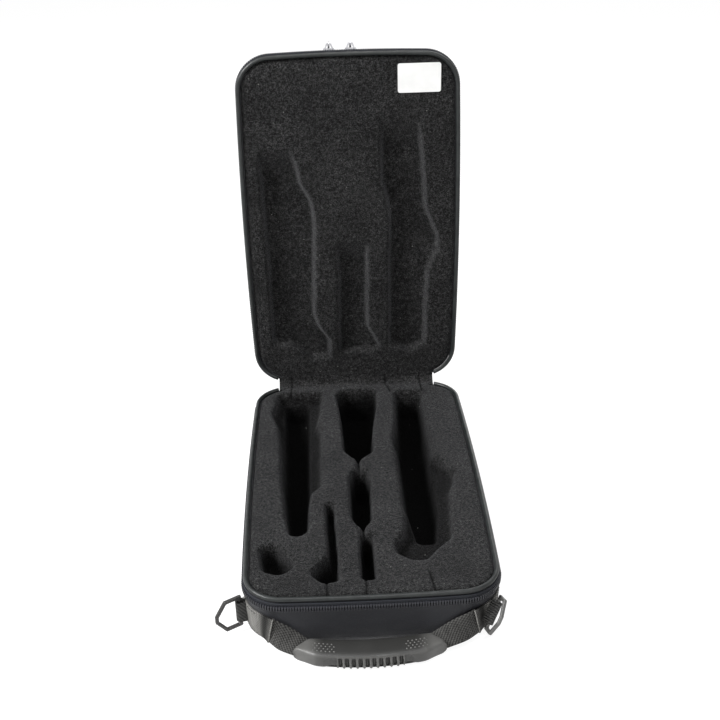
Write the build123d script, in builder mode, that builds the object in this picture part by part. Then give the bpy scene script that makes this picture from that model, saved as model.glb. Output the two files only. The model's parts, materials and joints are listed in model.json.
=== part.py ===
from build123d import *
import os
from math import asin, atan, cos, hypot, radians, sin, sqrt, tan

# Oboe case, open, with its lid standing upright. Millimetres, +Z up, handle at -Y, hinge at +Y.
# The origin is the centre of the base's flat underside.

# Overall size of each half, measured at its rim
case_width = 206.0
case_length = 337.6
side_bow = 3.0
front_bow = 3.0
corner_radius = 33.5
base_height = 50.0
lid_depth = 32.0

# Walls
cover_thickness = 1.4
shell_thickness = 5.6
cover_inset = 0.5
base_draft = 2.5
lid_draft = 14.0
base_edge_radius = 8.0
lid_edge_radius = 12.0
insert_drop = 1.5
piping_diameter = 4.0

# Fabric hinge
closed_gap = 1.0
hinge_offset = 2.5
hinge_half_width = 80.0
lining_thickness = 2.8
strip_thickness = 1.2
strip_sewn_length = 15.0
strip_free = 3.0
strip_clearance = 0.15
strip_bend = 5.0

# Zip halves, as depths below each rim
tape_top = 4.4
tape_bottom = 12.8
tape_thickness = 0.9
teeth_top = 7.0
teeth_bottom = 12.2
teeth_thickness = 1.6
zip_end_clearance = 3.0
zip_stop_length = 4.0
zip_stop_proud = 0.8

# Document pocket on the lid
pocket_inset = 19.0
pocket_thickness = 6.0
pocket_edge_radius = 3.0
pocket_zip_top = 13.2
pocket_zip_bottom = 20.0
pocket_teeth_width = 2.6
pocket_tape_thickness = 0.8
pocket_teeth_thickness = 1.2

# Sliders and their pulls
slider_length = 10.0
slider_width = 8.4
slider_nose_width = 5.6
slider_plate = 1.6
slider_gap = 0.3
slider_flange = 0.9
slider_flange_length = 8.0
crown_length = 8.0
crown_height = 4.4
crown_bar = 1.3
crown_width = 1.6
crown_lean = 1.6
pull_length = 19.0
pull_width = 5.4
pull_thickness = 1.7
pull_neck_length = 7.0
pull_neck_width = 3.4
pull_eye_radius = 2.4
pull_eye_hole = 1.4
main_slider_clearance = 0.25
pocket_slider_left_x = -16.5
pocket_slider_right_x = 3.5
pocket_pull_droop = 22.0

# Webbing
webbing_width = 25.0
webbing_thickness = 1.8
webbing_bottom = 6.0
corner_strap_run = 42.8
corner_strap_end_y = corner_strap_run - case_length / 2
handle_anchor_x = 79.5
fold_radius = 2.6

# Carrying rings
ring_bar_length = 30.6
ring_straight = 13.7
ring_reach = 22.5
ring_tip_half = 3.1
ring_stock = 3.0
ring_edge = 1.0
ring_standoff = 4.6
ring_clearance = 0.6
ring_tab_width = 19.0
ring_tab_thickness = 1.5
ring_left_station = 14.0
ring_left_height = 20.4
ring_left_tilt = 0.0
ring_left_heading = 73.0
ring_right_station = 48.0
ring_right_height = 22.5
ring_right_tilt = 37.5
ring_right_heading = 132.5

# Grip and its strap
handle_centre_x = -4.0
grip_bottom = 0.5
grip_thickness = 13.0
grip_half_length = 61.0
grip_shoulder_x = 44.0
grip_rear_x = 49.0
grip_front_reach = 31.2
grip_shoulder_reach = 26.2
grip_end_reach = 14.7
grip_rear_end_reach = 4.8
grip_rear_reach = 10.7
grip_front_y = -case_length / 2 - grip_front_reach
grip_shoulder_y = -case_length / 2 - grip_shoulder_reach
grip_end_y = -case_length / 2 - grip_end_reach
grip_rear_end_y = -case_length / 2 - grip_rear_end_reach
grip_rear_y = -case_length / 2 - grip_rear_reach
grip_edge_radius = 3.6
grip_corner_radius = 5.0
groove_count = 9
groove_pitch = 5.3
groove_width = 2.3
groove_depth = 2.6
rib_proud = 0.8
recess_half_length = 35.0
recess_depth = 1.4
recess_height = 8.6
web_width = 11.0
web_thickness = 2.4
web_clearance = 0.3
web_half_length = 52.0
strap_thickness = 2.0
strap_gap = 0.4

# Inserts
ledge_depth = 12.0
trough_depth = 30.0
slot_depth = 36.0
pit_depth = 20.0
hook_depth = 24.0
lid_recess_depth = 10.0
lid_middle_depth = 8.0
slit_width = 2.0
slit_depth = 14.0
slit_x = -4.0
slit_back_y = 18.0
slit_back_length = 30.0
slit_front_y = -82.5
slit_front_length = 19.0

# Label plate, left bare
label_width = 40.0
label_height = 27.0
label_thickness = 0.8
label_corner = 2.0
label_side_margin = 37.0
label_edge_margin = 22.6
label_x = case_width / 2 - label_side_margin
label_from_hinge = case_length - label_edge_margin

# Each rim plane starts at the hinge edge, with y towards the free edge and z pointing out of the case
base_rim = Plane(origin=(0, case_length / 2, base_height), x_dir=(1, 0, 0), z_dir=(0, 0, -1))
rest_offset = hinge_offset + closed_gap / 2
lid_rim = Plane(
    origin=(0, case_length / 2 + rest_offset, base_height + rest_offset),
    x_dir=(-1, 0, 0),
    z_dir=(0, 1, 0),
)
wall_top = piping_diameter
far = 3 * case_length


def rim_outline(plane, inset):
    """Outline of a rim on a plane, pulled in by inset: bowed sides and free edge, straight hinge edge."""
    side_radius = (case_length**2 / 4 + side_bow**2) / (2 * side_bow) - inset
    free_radius = (case_width**2 / 4 + front_bow**2) / (2 * front_bow) - inset
    side_middle = Vector(case_width / 2 + side_bow - inset, case_length / 2)
    free_middle = Vector(0, case_length + front_bow - inset)
    side_centre = side_middle - Vector(side_radius, 0)
    free_centre = free_middle - Vector(0, free_radius)
    hinge_x = side_centre.X + sqrt(side_radius**2 - (case_length / 2 - inset) ** 2)
    between = free_centre - side_centre
    along = (between.length**2 + side_radius**2 - free_radius**2) / (2 * between.length)
    across = sqrt(side_radius**2 - along**2)
    direction = between.normalized()
    corner = side_centre + direction * along + Vector(-direction.Y, direction.X) * across
    with BuildSketch(plane) as outline:
        with BuildLine():
            Line((-hinge_x, inset), (hinge_x, inset))
            ThreePointArc((hinge_x, inset), side_middle, corner)
            ThreePointArc(corner, free_middle, (-corner.X, corner.Y))
            ThreePointArc((-corner.X, corner.Y), (-side_middle.X, side_middle.Y), (-hinge_x, inset))
        make_face()
        fillet(outline.vertices(), corner_radius - inset)
    return outline.sketch


def tub(plane, inset, top, bottom, draft, edge_radius):
    """Solid that fills a half-case from one depth to another, with tapered walls and a round outer edge."""
    with BuildPart() as body:
        extrude(rim_outline(plane.offset(top), inset), amount=bottom - top, taper=draft)
        outer_face = body.faces().sort_by(Axis(plane.origin, plane.z_dir))[-1]
        fillet(outer_face.edges(), edge_radius)
    return body.part


def wall_band(plane, draft, start, thickness, top, bottom):
    """Band that lies on the tapered outer wall between two depths, start away from it."""
    height = bottom - wall_top + 1
    outer = rim_outline(plane.offset(wall_top), cover_inset - start - thickness)
    inner = rim_outline(plane.offset(wall_top), cover_inset - start)
    with BuildPart() as band:
        extrude(outer, amount=height, taper=draft)
        extrude(inner, amount=height, taper=draft, mode=Mode.SUBTRACT)
        with BuildSketch(plane.offset(top)):
            Rectangle(far, far)
        extrude(amount=bottom - top, mode=Mode.INTERSECT)
    return band.part


def hinge_block(plane, half_width):
    """Block over the hinge edge, used to end bands and piping beside the fabric hinge."""
    with BuildPart() as block:
        with BuildSketch(plane.offset(-far / 2)):
            Rectangle(2 * half_width, corner_radius)
        extrude(amount=far)
    return block.part


def corner_arc(index_x, front):
    """Centre of a rim corner's arc, in the case's frame. index_x is -1 for left and 1 for right."""
    arcs = rim_outline(base_rim, 0).edges().filter_by(GeomType.CIRCLE)
    corners = [arc for arc in arcs if abs(arc.radius - corner_radius) < 0.01]
    side = -1 if front else 1
    chosen = [arc for arc in corners if arc.arc_center.X * index_x > 0 and arc.arc_center.Y * side > 0]
    return chosen[0].arc_center


def wall_radius(height):
    """Radius of the base's corner wall at a height above the floor."""
    return corner_radius - cover_inset - (base_height - wall_top - height) * tan(radians(base_draft))


def piping(plane):
    """Round bead along the outer edge of a rim, open at the hinge."""
    bead = piping_diameter / 2
    path = rim_outline(plane.offset(bead), bead).faces()[0].outer_wire()
    with BuildPart() as cord:
        with BuildSketch(Plane(origin=path @ 0, z_dir=path % 0)):
            Circle(bead)
        sweep(path=path)
        add(hinge_block(plane, hinge_half_width + zip_end_clearance / 2), mode=Mode.SUBTRACT)
    return cord.part


def zip_stops(plane, draft):
    """Two blocks that close the ends of a row of teeth, beside the hinge."""
    inner_end = hinge_half_width + zip_end_clearance
    start = tape_thickness
    thickness = teeth_thickness + zip_stop_proud
    with BuildPart() as stops:
        add(wall_band(plane, draft, start, thickness, teeth_top, teeth_bottom))
        add(hinge_block(plane, inner_end + zip_stop_length), mode=Mode.INTERSECT)
        add(hinge_block(plane, inner_end), mode=Mode.SUBTRACT)
    return stops.part


def pocket_outline(plane, points, radius):
    """Closed outline through points, with every corner rounded."""
    with BuildSketch(plane) as outline:
        with BuildLine():
            Polyline(*points, close=True)
        make_face()
        fillet(outline.vertices(), radius)
    return outline.sketch


def save(part, name):
    """Label a finished piece and write its STEP file."""
    part.label = name
    export_step(part, f"parts/{name}.step")


os.makedirs("parts", exist_ok=True)

# Base: cover, shell, piping, zip half
base_outer = tub(base_rim, cover_inset, wall_top, base_height, base_draft, base_edge_radius)
shell_inset = cover_inset + cover_thickness
base_shell_outer = tub(
    base_rim,
    shell_inset,
    wall_top,
    base_height - cover_thickness,
    base_draft,
    base_edge_radius - cover_thickness,
)
insert_inset = shell_inset + shell_thickness
base_core = tub(
    base_rim,
    insert_inset,
    wall_top,
    base_height - cover_thickness - shell_thickness,
    base_draft,
    base_edge_radius - cover_thickness - shell_thickness,
)

with BuildPart() as base_cover:
    add(base_outer)
    add(base_shell_outer, mode=Mode.SUBTRACT)
save(base_cover.part, "base_cover")

with BuildPart() as base_shell:
    add(base_shell_outer)
    add(base_core, mode=Mode.SUBTRACT)
save(base_shell.part, "base_shell")

with BuildPart() as base_piping:
    add(piping(base_rim))
save(base_piping.part, "base_piping")

with BuildPart() as base_zip_tape:
    add(wall_band(base_rim, base_draft, 0, tape_thickness, tape_top, tape_bottom))
    add(hinge_block(base_rim, hinge_half_width + zip_end_clearance), mode=Mode.SUBTRACT)
save(base_zip_tape.part, "base_zip_tape")

with BuildPart() as base_zip_teeth:
    add(wall_band(base_rim, base_draft, tape_thickness, teeth_thickness, teeth_top, teeth_bottom))
    teeth_end = hinge_half_width + zip_end_clearance + zip_stop_length
    add(hinge_block(base_rim, teeth_end), mode=Mode.SUBTRACT)
save(base_zip_teeth.part, "base_zip_teeth")

with BuildPart() as base_zip_stops:
    add(zip_stops(base_rim, base_draft))
save(base_zip_stops.part, "base_zip_stops")

# Base insert: a padded block with a rim flange, cut by the pockets for the instrument's joints
insert_top = Plane.XY.offset(base_height - insert_drop)
flange_inset = piping_diameter + 0.2
upper_joint_points = [
    (-37, 153), (-39, 122), (-43, 96), (-39, 76), (-40, -12), (-50, -24), (-51, -74),
    (-58, -86), (-66, -84), (-70, -60), (-75, 0), (-77, 60), (-80, 94), (-86, 116), (-80, 153),
]
upper_joint_trough = [(-74, 146), (-51, 146), (-51, -10), (-54, -83), (-66, -83), (-71, -10)]
bell_points = [
    (-12, 157), (-20, 149), (-17, 112), (-15, 44), (-7, 31), (-1, 31), (10, 42),
    (10.5, 70), (13, 98), (18, 132), (19, 157),
]
reed_points = [(-9, 6), (-12, -6), (-11.5, -62), (-7, -75), (-2, -75), (3, -64), (5, -4), (2, 6)]
cloth_points = [(-6, -90), (-6.7, -147), (2.7, -146), (2, -90)]
lower_joint_points = [
    (66, 150), (65.5, 96), (65, 30), (73, 19), (82.5, 1), (80, -14), (75, -30), (70, -96),
    (55, -111), (46, -124), (36, -124), (23.5, -114), (22.5, -103), (31, -88), (34, -66),
    (33, -36), (33, 40), (31, 60), (36.5, 93), (40, 150),
]
lower_joint_trough = [(42, 145), (64, 145), (62, 20), (63, -42), (57, -90), (43, -90), (37, -42), (37, 60)]
reed_box_points = [(-91, -104), (-79, -99), (-63, -125), (-74, -136), (-87, -131)]
hook_stem = [(-34.5, -44), (-29.5, -44), (-27, -122), (-33.5, -122)]
hook_bowl = [(-33.5, -116), (-27, -116), (-27, -146), (-38, -149), (-48, -138), (-42, -127)]

with BuildPart() as base_insert:
    add(base_core)
    extrude(rim_outline(base_rim.offset(insert_drop), flange_inset), amount=wall_top - insert_drop)
    extrude(pocket_outline(insert_top, upper_joint_points, 3.0), amount=-ledge_depth, mode=Mode.SUBTRACT)
    extrude(pocket_outline(insert_top, upper_joint_trough, 5.0), amount=-trough_depth, mode=Mode.SUBTRACT)
    extrude(pocket_outline(insert_top, bell_points, 3.0), amount=-slot_depth, mode=Mode.SUBTRACT)
    extrude(pocket_outline(insert_top, reed_points, 2.0), amount=-slot_depth, mode=Mode.SUBTRACT)
    extrude(pocket_outline(insert_top, cloth_points, 2.0), amount=-slot_depth, mode=Mode.SUBTRACT)
    extrude(pocket_outline(insert_top, lower_joint_points, 3.0), amount=-ledge_depth, mode=Mode.SUBTRACT)
    extrude(pocket_outline(insert_top, lower_joint_trough, 5.0), amount=-trough_depth, mode=Mode.SUBTRACT)
    extrude(pocket_outline(insert_top, reed_box_points, 5.0), amount=-pit_depth, mode=Mode.SUBTRACT)
    extrude(pocket_outline(insert_top, hook_stem, 1.5), amount=-hook_depth, mode=Mode.SUBTRACT)
    extrude(pocket_outline(insert_top, hook_bowl, 2.0), amount=-hook_depth, mode=Mode.SUBTRACT)
    with BuildSketch(insert_top):
        with Locations((slit_x, slit_back_y)):
            Rectangle(slit_width, slit_back_length)
        with Locations((slit_x, slit_front_y)):
            Rectangle(slit_width, slit_front_length)
    extrude(amount=-slit_depth, mode=Mode.SUBTRACT)
save(base_insert.part, "base_insert")

# Webbing round the front corners, ending in the folds that the handle hangs from
strap_top_depth = base_height - webbing_bottom - webbing_width
strap_bottom_depth = base_height - webbing_bottom
front_centre = corner_arc(1, True)
fold_lean = handle_anchor_x - front_centre.X
fold_wall = wall_radius(webbing_bottom + webbing_width / 2)
fold_y = front_centre.Y - sqrt(fold_wall**2 - fold_lean**2) - webbing_thickness
with BuildPart() as corner_strap_right:
    add(wall_band(base_rim, base_draft, 0, webbing_thickness, strap_top_depth, strap_bottom_depth))
    with BuildSketch():
        with Locations((handle_anchor_x + case_width / 2, corner_strap_end_y - case_width / 2)):
            Rectangle(case_width, case_width)
    extrude(amount=base_height, mode=Mode.INTERSECT)
    with BuildSketch(Plane.XY.offset(webbing_bottom)):
        with Locations((handle_anchor_x, fold_y)):
            Circle(fold_radius)
    extrude(amount=webbing_width)
    add(base_outer, mode=Mode.SUBTRACT)
save(corner_strap_right.part, "corner_strap_right")

with BuildPart() as corner_strap_left:
    mirror(corner_strap_right.part, about=Plane.YZ)
save(corner_strap_left.part, "corner_strap_left")

# Carrying rings, each on a webbing tab; a ring's plane has x away from the wall and z along its bar
bar_radius = ring_stock / 2


def ring_plane(side, station, height, tilt):
    """Frame of a ring's bar: x points away from the corner's wall, z runs up along the bar."""
    centre = corner_arc(side, True)
    angle = radians(station)
    away = Vector(side * cos(angle), -sin(angle), 0)
    along = Vector(side * sin(angle), cos(angle), 0)
    bar = Vector(0, 0, 1) * cos(radians(tilt)) + along * sin(radians(tilt))
    bar_radius_from_corner = wall_radius(height) + webbing_thickness + ring_standoff
    origin = Vector(centre.X, centre.Y, height) + away * bar_radius_from_corner
    return Plane(origin=origin, x_dir=away, z_dir=bar)


def ring_profile(plane, inset):
    """Ring's angular outline in its own plane, x away from the bar and y along the bar."""
    half = ring_bar_length / 2
    corners = [(-bar_radius, half), (ring_straight, half), (ring_reach, ring_tip_half)]
    corners += [(x, -y) for x, y in reversed(corners)]
    with BuildSketch(plane) as outline:
        with BuildLine():
            Polyline(*corners, close=True)
        make_face()
        if inset > 0:
            offset(amount=-inset, kind=Kind.INTERSECTION)
    return outline.sketch


def carrying_ring(frame, heading):
    """Ring that turns about the frame's z axis; heading is its angle from the wall's tangent."""
    turn = radians(heading - 90)
    outward = frame.x_dir * cos(turn) - frame.y_dir * sin(turn)
    flat = Plane(origin=frame.origin, x_dir=outward, z_dir=outward.cross(frame.z_dir))
    with BuildPart() as ring:
        extrude(ring_profile(flat, 0), amount=bar_radius, both=True)
        extrude(ring_profile(flat, ring_stock), amount=bar_radius, both=True, mode=Mode.SUBTRACT)
        fillet(ring.edges(), ring_edge)
    return ring.part


def ring_tab(frame):
    """Webbing loop round a ring's bar, with a stem down to the corner webbing."""
    hole = bar_radius + ring_clearance
    outer = hole + ring_tab_thickness
    with BuildPart() as tab:
        with BuildSketch(frame):
            Circle(outer)
            with Locations((-ring_standoff, 0)):
                Rectangle(2 * ring_standoff, 2 * outer)
            Circle(hole, mode=Mode.SUBTRACT)
        extrude(amount=ring_tab_width / 2, both=True)
        band_top = rim_outline(base_rim.offset(wall_top), cover_inset - webbing_thickness)
        extrude(band_top, amount=base_height, taper=base_draft, mode=Mode.SUBTRACT)
    return tab.part


ring_left_frame = ring_plane(-1, ring_left_station, ring_left_height, ring_left_tilt)
ring_right_frame = ring_plane(1, ring_right_station, ring_right_height, ring_right_tilt)
with BuildPart() as ring_left:
    add(carrying_ring(ring_left_frame, ring_left_heading))
save(ring_left.part, "ring_left")
with BuildPart() as ring_right:
    add(carrying_ring(ring_right_frame, ring_right_heading))
save(ring_right.part, "ring_right")
with BuildPart() as ring_tab_left:
    add(ring_tab(ring_left_frame))
save(ring_tab_left.part, "ring_tab_left")
with BuildPart() as ring_tab_right:
    add(ring_tab(ring_right_frame))
save(ring_tab_right.part, "ring_tab_right")
print("left ring", ring_left_frame.origin, ring_left_frame.z_dir)
print("right ring", ring_right_frame.origin, ring_right_frame.z_dir)

# Grip, moulded round a strap; its plan is drawn from the handle's own middle
grip_floor = Plane(origin=(handle_centre_x, 0, grip_bottom))


def grip_front(plane, offset_y, half_length):
    """Strip along the grip's front curve, from a depth behind it to a depth in front of it."""
    behind, ahead = offset_y
    sag = (grip_shoulder_y - grip_front_y) * (half_length / grip_shoulder_x) ** 2
    with BuildSketch(plane) as strip:
        with BuildLine():
            near = grip_front_y + sag - ahead
            deep = grip_front_y + sag + behind
            ThreePointArc((-half_length, near), (0, grip_front_y - ahead), (half_length, near))
            Line((half_length, near), (half_length, deep))
            ThreePointArc((half_length, deep), (0, grip_front_y + behind), (-half_length, deep))
            Line((-half_length, deep), (-half_length, near))
        make_face()
    return strip.sketch


with BuildPart() as grip:
    with BuildSketch(grip_floor) as grip_plan:
        with BuildLine():
            shoulder = (grip_shoulder_x, grip_shoulder_y)
            ThreePointArc((-grip_shoulder_x, grip_shoulder_y), (0, grip_front_y), shoulder)
            Line(shoulder, (grip_half_length, grip_end_y))
            Line((grip_half_length, grip_end_y), (grip_rear_x, grip_rear_end_y))
            ThreePointArc((grip_rear_x, grip_rear_end_y), (0, grip_rear_y), (-grip_rear_x, grip_rear_end_y))
            Line((-grip_rear_x, grip_rear_end_y), (-grip_half_length, grip_end_y))
            Line((-grip_half_length, grip_end_y), (-grip_shoulder_x, grip_shoulder_y))
        make_face()
        fillet(grip_plan.vertices(), grip_corner_radius)
    extrude(amount=grip_thickness)
    fillet(grip.faces().filter_by(Axis.Z).edges(), grip_edge_radius)
    extrude(grip_front(grip_floor, (recess_depth, 2 * rib_proud), recess_half_length), amount=recess_height,
            mode=Mode.SUBTRACT)
    rib_half_length = (groove_count + 1) * groove_pitch / 2 - groove_width / 2
    rib_floor = grip_floor.offset(grip_edge_radius / 2)
    rib_height = recess_height - grip_edge_radius / 2
    extrude(grip_front(rib_floor, (recess_depth, rib_proud), rib_half_length), amount=rib_height)
    with BuildSketch(grip_floor):
        with Locations((0, grip_front_y)):
            with GridLocations(groove_pitch, 1, groove_count, 1):
                Rectangle(groove_width, 2 * groove_depth)
    extrude(amount=recess_height, mode=Mode.SUBTRACT)
    web_y = (grip_front_y + grip_rear_y) / 2
    web_plane = Plane(origin=(handle_centre_x, web_y, grip_bottom + grip_thickness / 2), z_dir=(1, 0, 0))
    with BuildSketch(web_plane):
        Rectangle(web_width + 2 * web_clearance, web_thickness + 2 * web_clearance)
    extrude(amount=grip_half_length, both=True, mode=Mode.SUBTRACT)
save(grip.part, "grip")

with BuildPart() as grip_web:
    with BuildSketch(web_plane):
        Rectangle(web_width, web_thickness)
    extrude(amount=web_half_length, both=True)
save(grip_web.part, "grip_web")

# Webbing from each fold to the grip, twisting as it goes
for side, side_name in ((-1, "left"), (1, "right")):
    start = Vector(side * (handle_anchor_x - 1), fold_y - fold_radius - strap_gap - strap_thickness / 2,
                   webbing_bottom + webbing_width / 2)
    outer_end = Vector(handle_centre_x + side * grip_half_length, grip_end_y, grip_bottom + grip_edge_radius)
    near_top = grip_bottom + grip_thickness - 1
    inner_end = Vector(handle_centre_x + side * grip_rear_x, grip_rear_end_y, near_top)
    middle = (outer_end + inner_end) / 2
    width_dir = (inner_end - outer_end).normalized()
    run = (middle - start).normalized()
    end_normal = (run - width_dir * run.dot(width_dir)).normalized()
    end = middle - end_normal * strap_gap + Vector(side * 1.2, 0, 0)
    start_normal = Vector(-side * 0.8, -0.6, 0)
    with BuildPart() as handle_strap:
        with BuildSketch(Plane(origin=start, x_dir=(0, 0, 1), z_dir=start_normal)):
            Rectangle(webbing_width - 1, strap_thickness)
        with BuildSketch(Plane(origin=end, x_dir=width_dir, z_dir=end_normal)):
            Rectangle((inner_end - outer_end).length, strap_thickness)
        loft(ruled=True)
    save(handle_strap.part, f"handle_strap_{side_name}")
    print("strap", side_name, start, end, handle_strap.part.volume)

# Lid: cover, shell, piping, zip half
lid_outer = tub(lid_rim, cover_inset, wall_top, lid_depth, lid_draft, lid_edge_radius)
lid_shell_outer = tub(
    lid_rim,
    shell_inset,
    wall_top,
    lid_depth - cover_thickness,
    lid_draft,
    lid_edge_radius - cover_thickness,
)
lid_core = tub(
    lid_rim,
    insert_inset,
    wall_top,
    lid_depth - cover_thickness - shell_thickness,
    lid_draft,
    lid_edge_radius - cover_thickness - shell_thickness,
)

with BuildPart() as lid_cover:
    add(lid_outer)
    add(lid_shell_outer, mode=Mode.SUBTRACT)
save(lid_cover.part, "lid_cover")

with BuildPart() as lid_shell:
    add(lid_shell_outer)
    add(lid_core, mode=Mode.SUBTRACT)
save(lid_shell.part, "lid_shell")

with BuildPart() as lid_piping:
    add(piping(lid_rim))
save(lid_piping.part, "lid_piping")

with BuildPart() as lid_zip_tape:
    add(wall_band(lid_rim, lid_draft, 0, tape_thickness, tape_top, tape_bottom))
    add(hinge_block(lid_rim, hinge_half_width + zip_end_clearance), mode=Mode.SUBTRACT)
save(lid_zip_tape.part, "lid_zip_tape")

with BuildPart() as lid_zip_teeth:
    add(wall_band(lid_rim, lid_draft, tape_thickness, teeth_thickness, teeth_top, teeth_bottom))
    add(hinge_block(lid_rim, teeth_end), mode=Mode.SUBTRACT)
save(lid_zip_teeth.part, "lid_zip_teeth")

with BuildPart() as lid_zip_stops:
    add(zip_stops(lid_rim, lid_draft))
save(lid_zip_stops.part, "lid_zip_stops")

# Lid insert, seen from the front: x to the right and y up from the hinge edge
lid_face = Plane(
    origin=(0, lid_rim.origin.Y + insert_drop, lid_rim.origin.Z),
    x_dir=(1, 0, 0),
    z_dir=(0, -1, 0),
)
lid_left_points = [
    (-87, 252), (-84.5, 164), (-83.5, 44), (-66, 43), (-57, 36), (-46, 25), (-27, 27), (-26, 45),
    (-37, 61), (-41, 76), (-37, 174), (-39, 196), (-49, 215), (-52, 233), (-58, 252),
]
lid_right_points = [
    (21, 276), (21.5, 240), (27, 221), (33, 207), (37.5, 183), (36, 39), (55, 31), (72, 38),
    (73, 83), (75, 121), (84, 143), (84, 158), (72.5, 187), (70, 229), (66, 276),
]
lid_middle_points = [(-15, 157), (-14, 112), (-16, 33), (27, 33), (20, 48), (13.5, 60), (13.5, 98), (15, 157)]
with BuildPart() as lid_insert:
    add(lid_core)
    extrude(rim_outline(lid_rim.offset(insert_drop), flange_inset), amount=wall_top - insert_drop)
    extrude(pocket_outline(lid_face, lid_left_points, 3.0), amount=-lid_recess_depth, mode=Mode.SUBTRACT)
    extrude(pocket_outline(lid_face, lid_right_points, 3.0), amount=-lid_recess_depth, mode=Mode.SUBTRACT)
    extrude(pocket_outline(lid_face, lid_middle_points, 3.0), amount=-lid_middle_depth, mode=Mode.SUBTRACT)
save(lid_insert.part, "lid_insert")

with BuildPart() as label_plate:
    with BuildSketch(lid_face):
        with Locations((label_x, label_from_hinge)):
            RectangleRounded(label_width, label_height, label_corner)
    extrude(amount=label_thickness)
save(label_plate.part, "label_plate")

# Document pocket on the lid's outer face, with its own zip round three sides
with BuildPart() as lid_pocket:
    extrude(rim_outline(lid_rim.offset(lid_depth), pocket_inset), amount=pocket_thickness)
    pocket_face = lid_pocket.faces().sort_by(Axis(lid_rim.origin, lid_rim.z_dir))[-1]
    fillet(pocket_face.edges(), pocket_edge_radius)
save(lid_pocket.part, "lid_pocket")

with BuildPart() as pocket_zip_tape:
    add(wall_band(lid_rim, lid_draft, 0, pocket_tape_thickness, pocket_zip_top, pocket_zip_bottom))
    add(hinge_block(lid_rim, hinge_half_width + zip_end_clearance), mode=Mode.SUBTRACT)
save(pocket_zip_tape.part, "pocket_zip_tape")

pocket_zip_middle = (pocket_zip_top + pocket_zip_bottom) / 2
with BuildPart() as pocket_zip_teeth:
    teeth_start = pocket_zip_middle - pocket_teeth_width / 2
    teeth_stop = pocket_zip_middle + pocket_teeth_width / 2
    tape = pocket_tape_thickness
    add(wall_band(lid_rim, lid_draft, tape, pocket_teeth_thickness, teeth_start, teeth_stop))
    add(hinge_block(lid_rim, teeth_end), mode=Mode.SUBTRACT)
save(pocket_zip_teeth.part, "pocket_zip_teeth")


def slider(frame, flange_drop):
    """Zip slider on a frame whose x follows the zip and whose z leaves the wall at the teeth's face.

    Its side flanges reach flange_drop down beside the teeth.
    """
    plate_top = slider_gap + slider_plate
    side_view = Plane(origin=frame.origin, x_dir=frame.x_dir, z_dir=-frame.y_dir)
    with BuildPart() as body:
        with BuildSketch(frame.offset(slider_gap)):
            Trapezoid(slider_width, slider_length, 80, rotation=90)
        extrude(amount=slider_plate)
        with BuildSketch(frame.offset(slider_gap - flange_drop)):
            with GridLocations(1, slider_nose_width + slider_flange, 1, 2):
                Rectangle(slider_flange_length, slider_flange)
        extrude(amount=flange_drop + slider_plate / 2)
        with BuildSketch(side_view) as arch:
            with BuildLine():
                half = crown_length / 2
                crown_top = plate_top + crown_height
                shoulder = half - crown_lean
                Polyline((-half, plate_top), (-shoulder, crown_top), (shoulder, crown_top), (half, plate_top),
                         close=True)
            make_face()
            with BuildLine():
                gap_top = crown_top - crown_bar
                gap_foot = half - crown_bar
                Polyline((-gap_foot, plate_top), (crown_bar - shoulder, gap_top), (shoulder - crown_bar, gap_top),
                         (gap_foot, plate_top), close=True)
            make_face(mode=Mode.SUBTRACT)
        extrude(amount=crown_width / 2, both=True)
    return body.part


def pull(frame, droop):
    """Pull that turns about a slider's crown bar; droop is its angle from the tape towards the wall."""
    bar_height = slider_gap + slider_plate + crown_height - crown_bar / 2
    turn = radians(droop)
    along = frame.y_dir * cos(turn) - frame.z_dir * sin(turn)
    eye = frame.origin + frame.z_dir * bar_height
    side_view = Plane(origin=eye, x_dir=along, z_dir=frame.x_dir)
    with BuildPart() as tab:
        with BuildSketch(side_view):
            Circle(pull_eye_radius)
            with Locations((pull_neck_length / 2, 0)):
                Rectangle(pull_neck_length, pull_neck_width)
            with Locations(((pull_neck_length + pull_length) / 2, 0)):
                RectangleRounded(pull_length - pull_neck_length, pull_width, 2.0)
            Circle(pull_eye_hole, mode=Mode.SUBTRACT)
        extrude(amount=pull_thickness / 2, both=True)
    return tab.part


def main_slider_frame(side):
    """Frame of a main slider, parked against the zip's end stop on a rear corner."""
    centre = corner_arc(side, False)
    height = base_height - (teeth_top + teeth_bottom) / 2
    radius = wall_radius(height) + tape_thickness + teeth_thickness
    stop_end = hinge_half_width + zip_end_clearance + zip_stop_length
    from_centre = stop_end + main_slider_clearance - abs(centre.X)
    angle = asin(from_centre / hypot(radius, slider_length / 2)) + atan(slider_length / 2 / radius)
    away = Vector(side * sin(angle), cos(angle), 0)
    origin = Vector(centre.X, centre.Y, height) + away * radius
    return Plane(origin=origin, x_dir=away.cross(Vector(0, 0, 1)), z_dir=away)


def pocket_slider_frame(x_position):
    """Frame of a pocket slider on the lid's free edge, its y towards the back of the lid."""
    slope = radians(lid_draft)
    depth = pocket_zip_middle
    surface = pocket_tape_thickness + pocket_teeth_thickness
    free_edge = case_length + front_bow - cover_inset - (depth - wall_top) * tan(slope)
    sag = front_bow * (2 * x_position / case_width) ** 2
    away = Vector(0, sin(slope), cos(slope))
    foot = Vector(x_position, lid_rim.origin.Y + depth, lid_rim.origin.Z + free_edge - sag)
    origin = foot + away * surface
    return Plane(origin=origin, x_dir=(1, 0, 0), z_dir=away)


for side, side_name in ((-1, "left"), (1, "right")):
    frame = main_slider_frame(side)
    with BuildPart() as main_slider:
        add(slider(frame, teeth_thickness))
    save(main_slider.part, f"main_slider_{side_name}")
    with BuildPart() as main_pull:
        add(pull(frame, 0))
    save(main_pull.part, f"main_pull_{side_name}")
    print("main slider", side_name, frame.origin, frame.x_dir, frame.y_dir, frame.z_dir)

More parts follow.
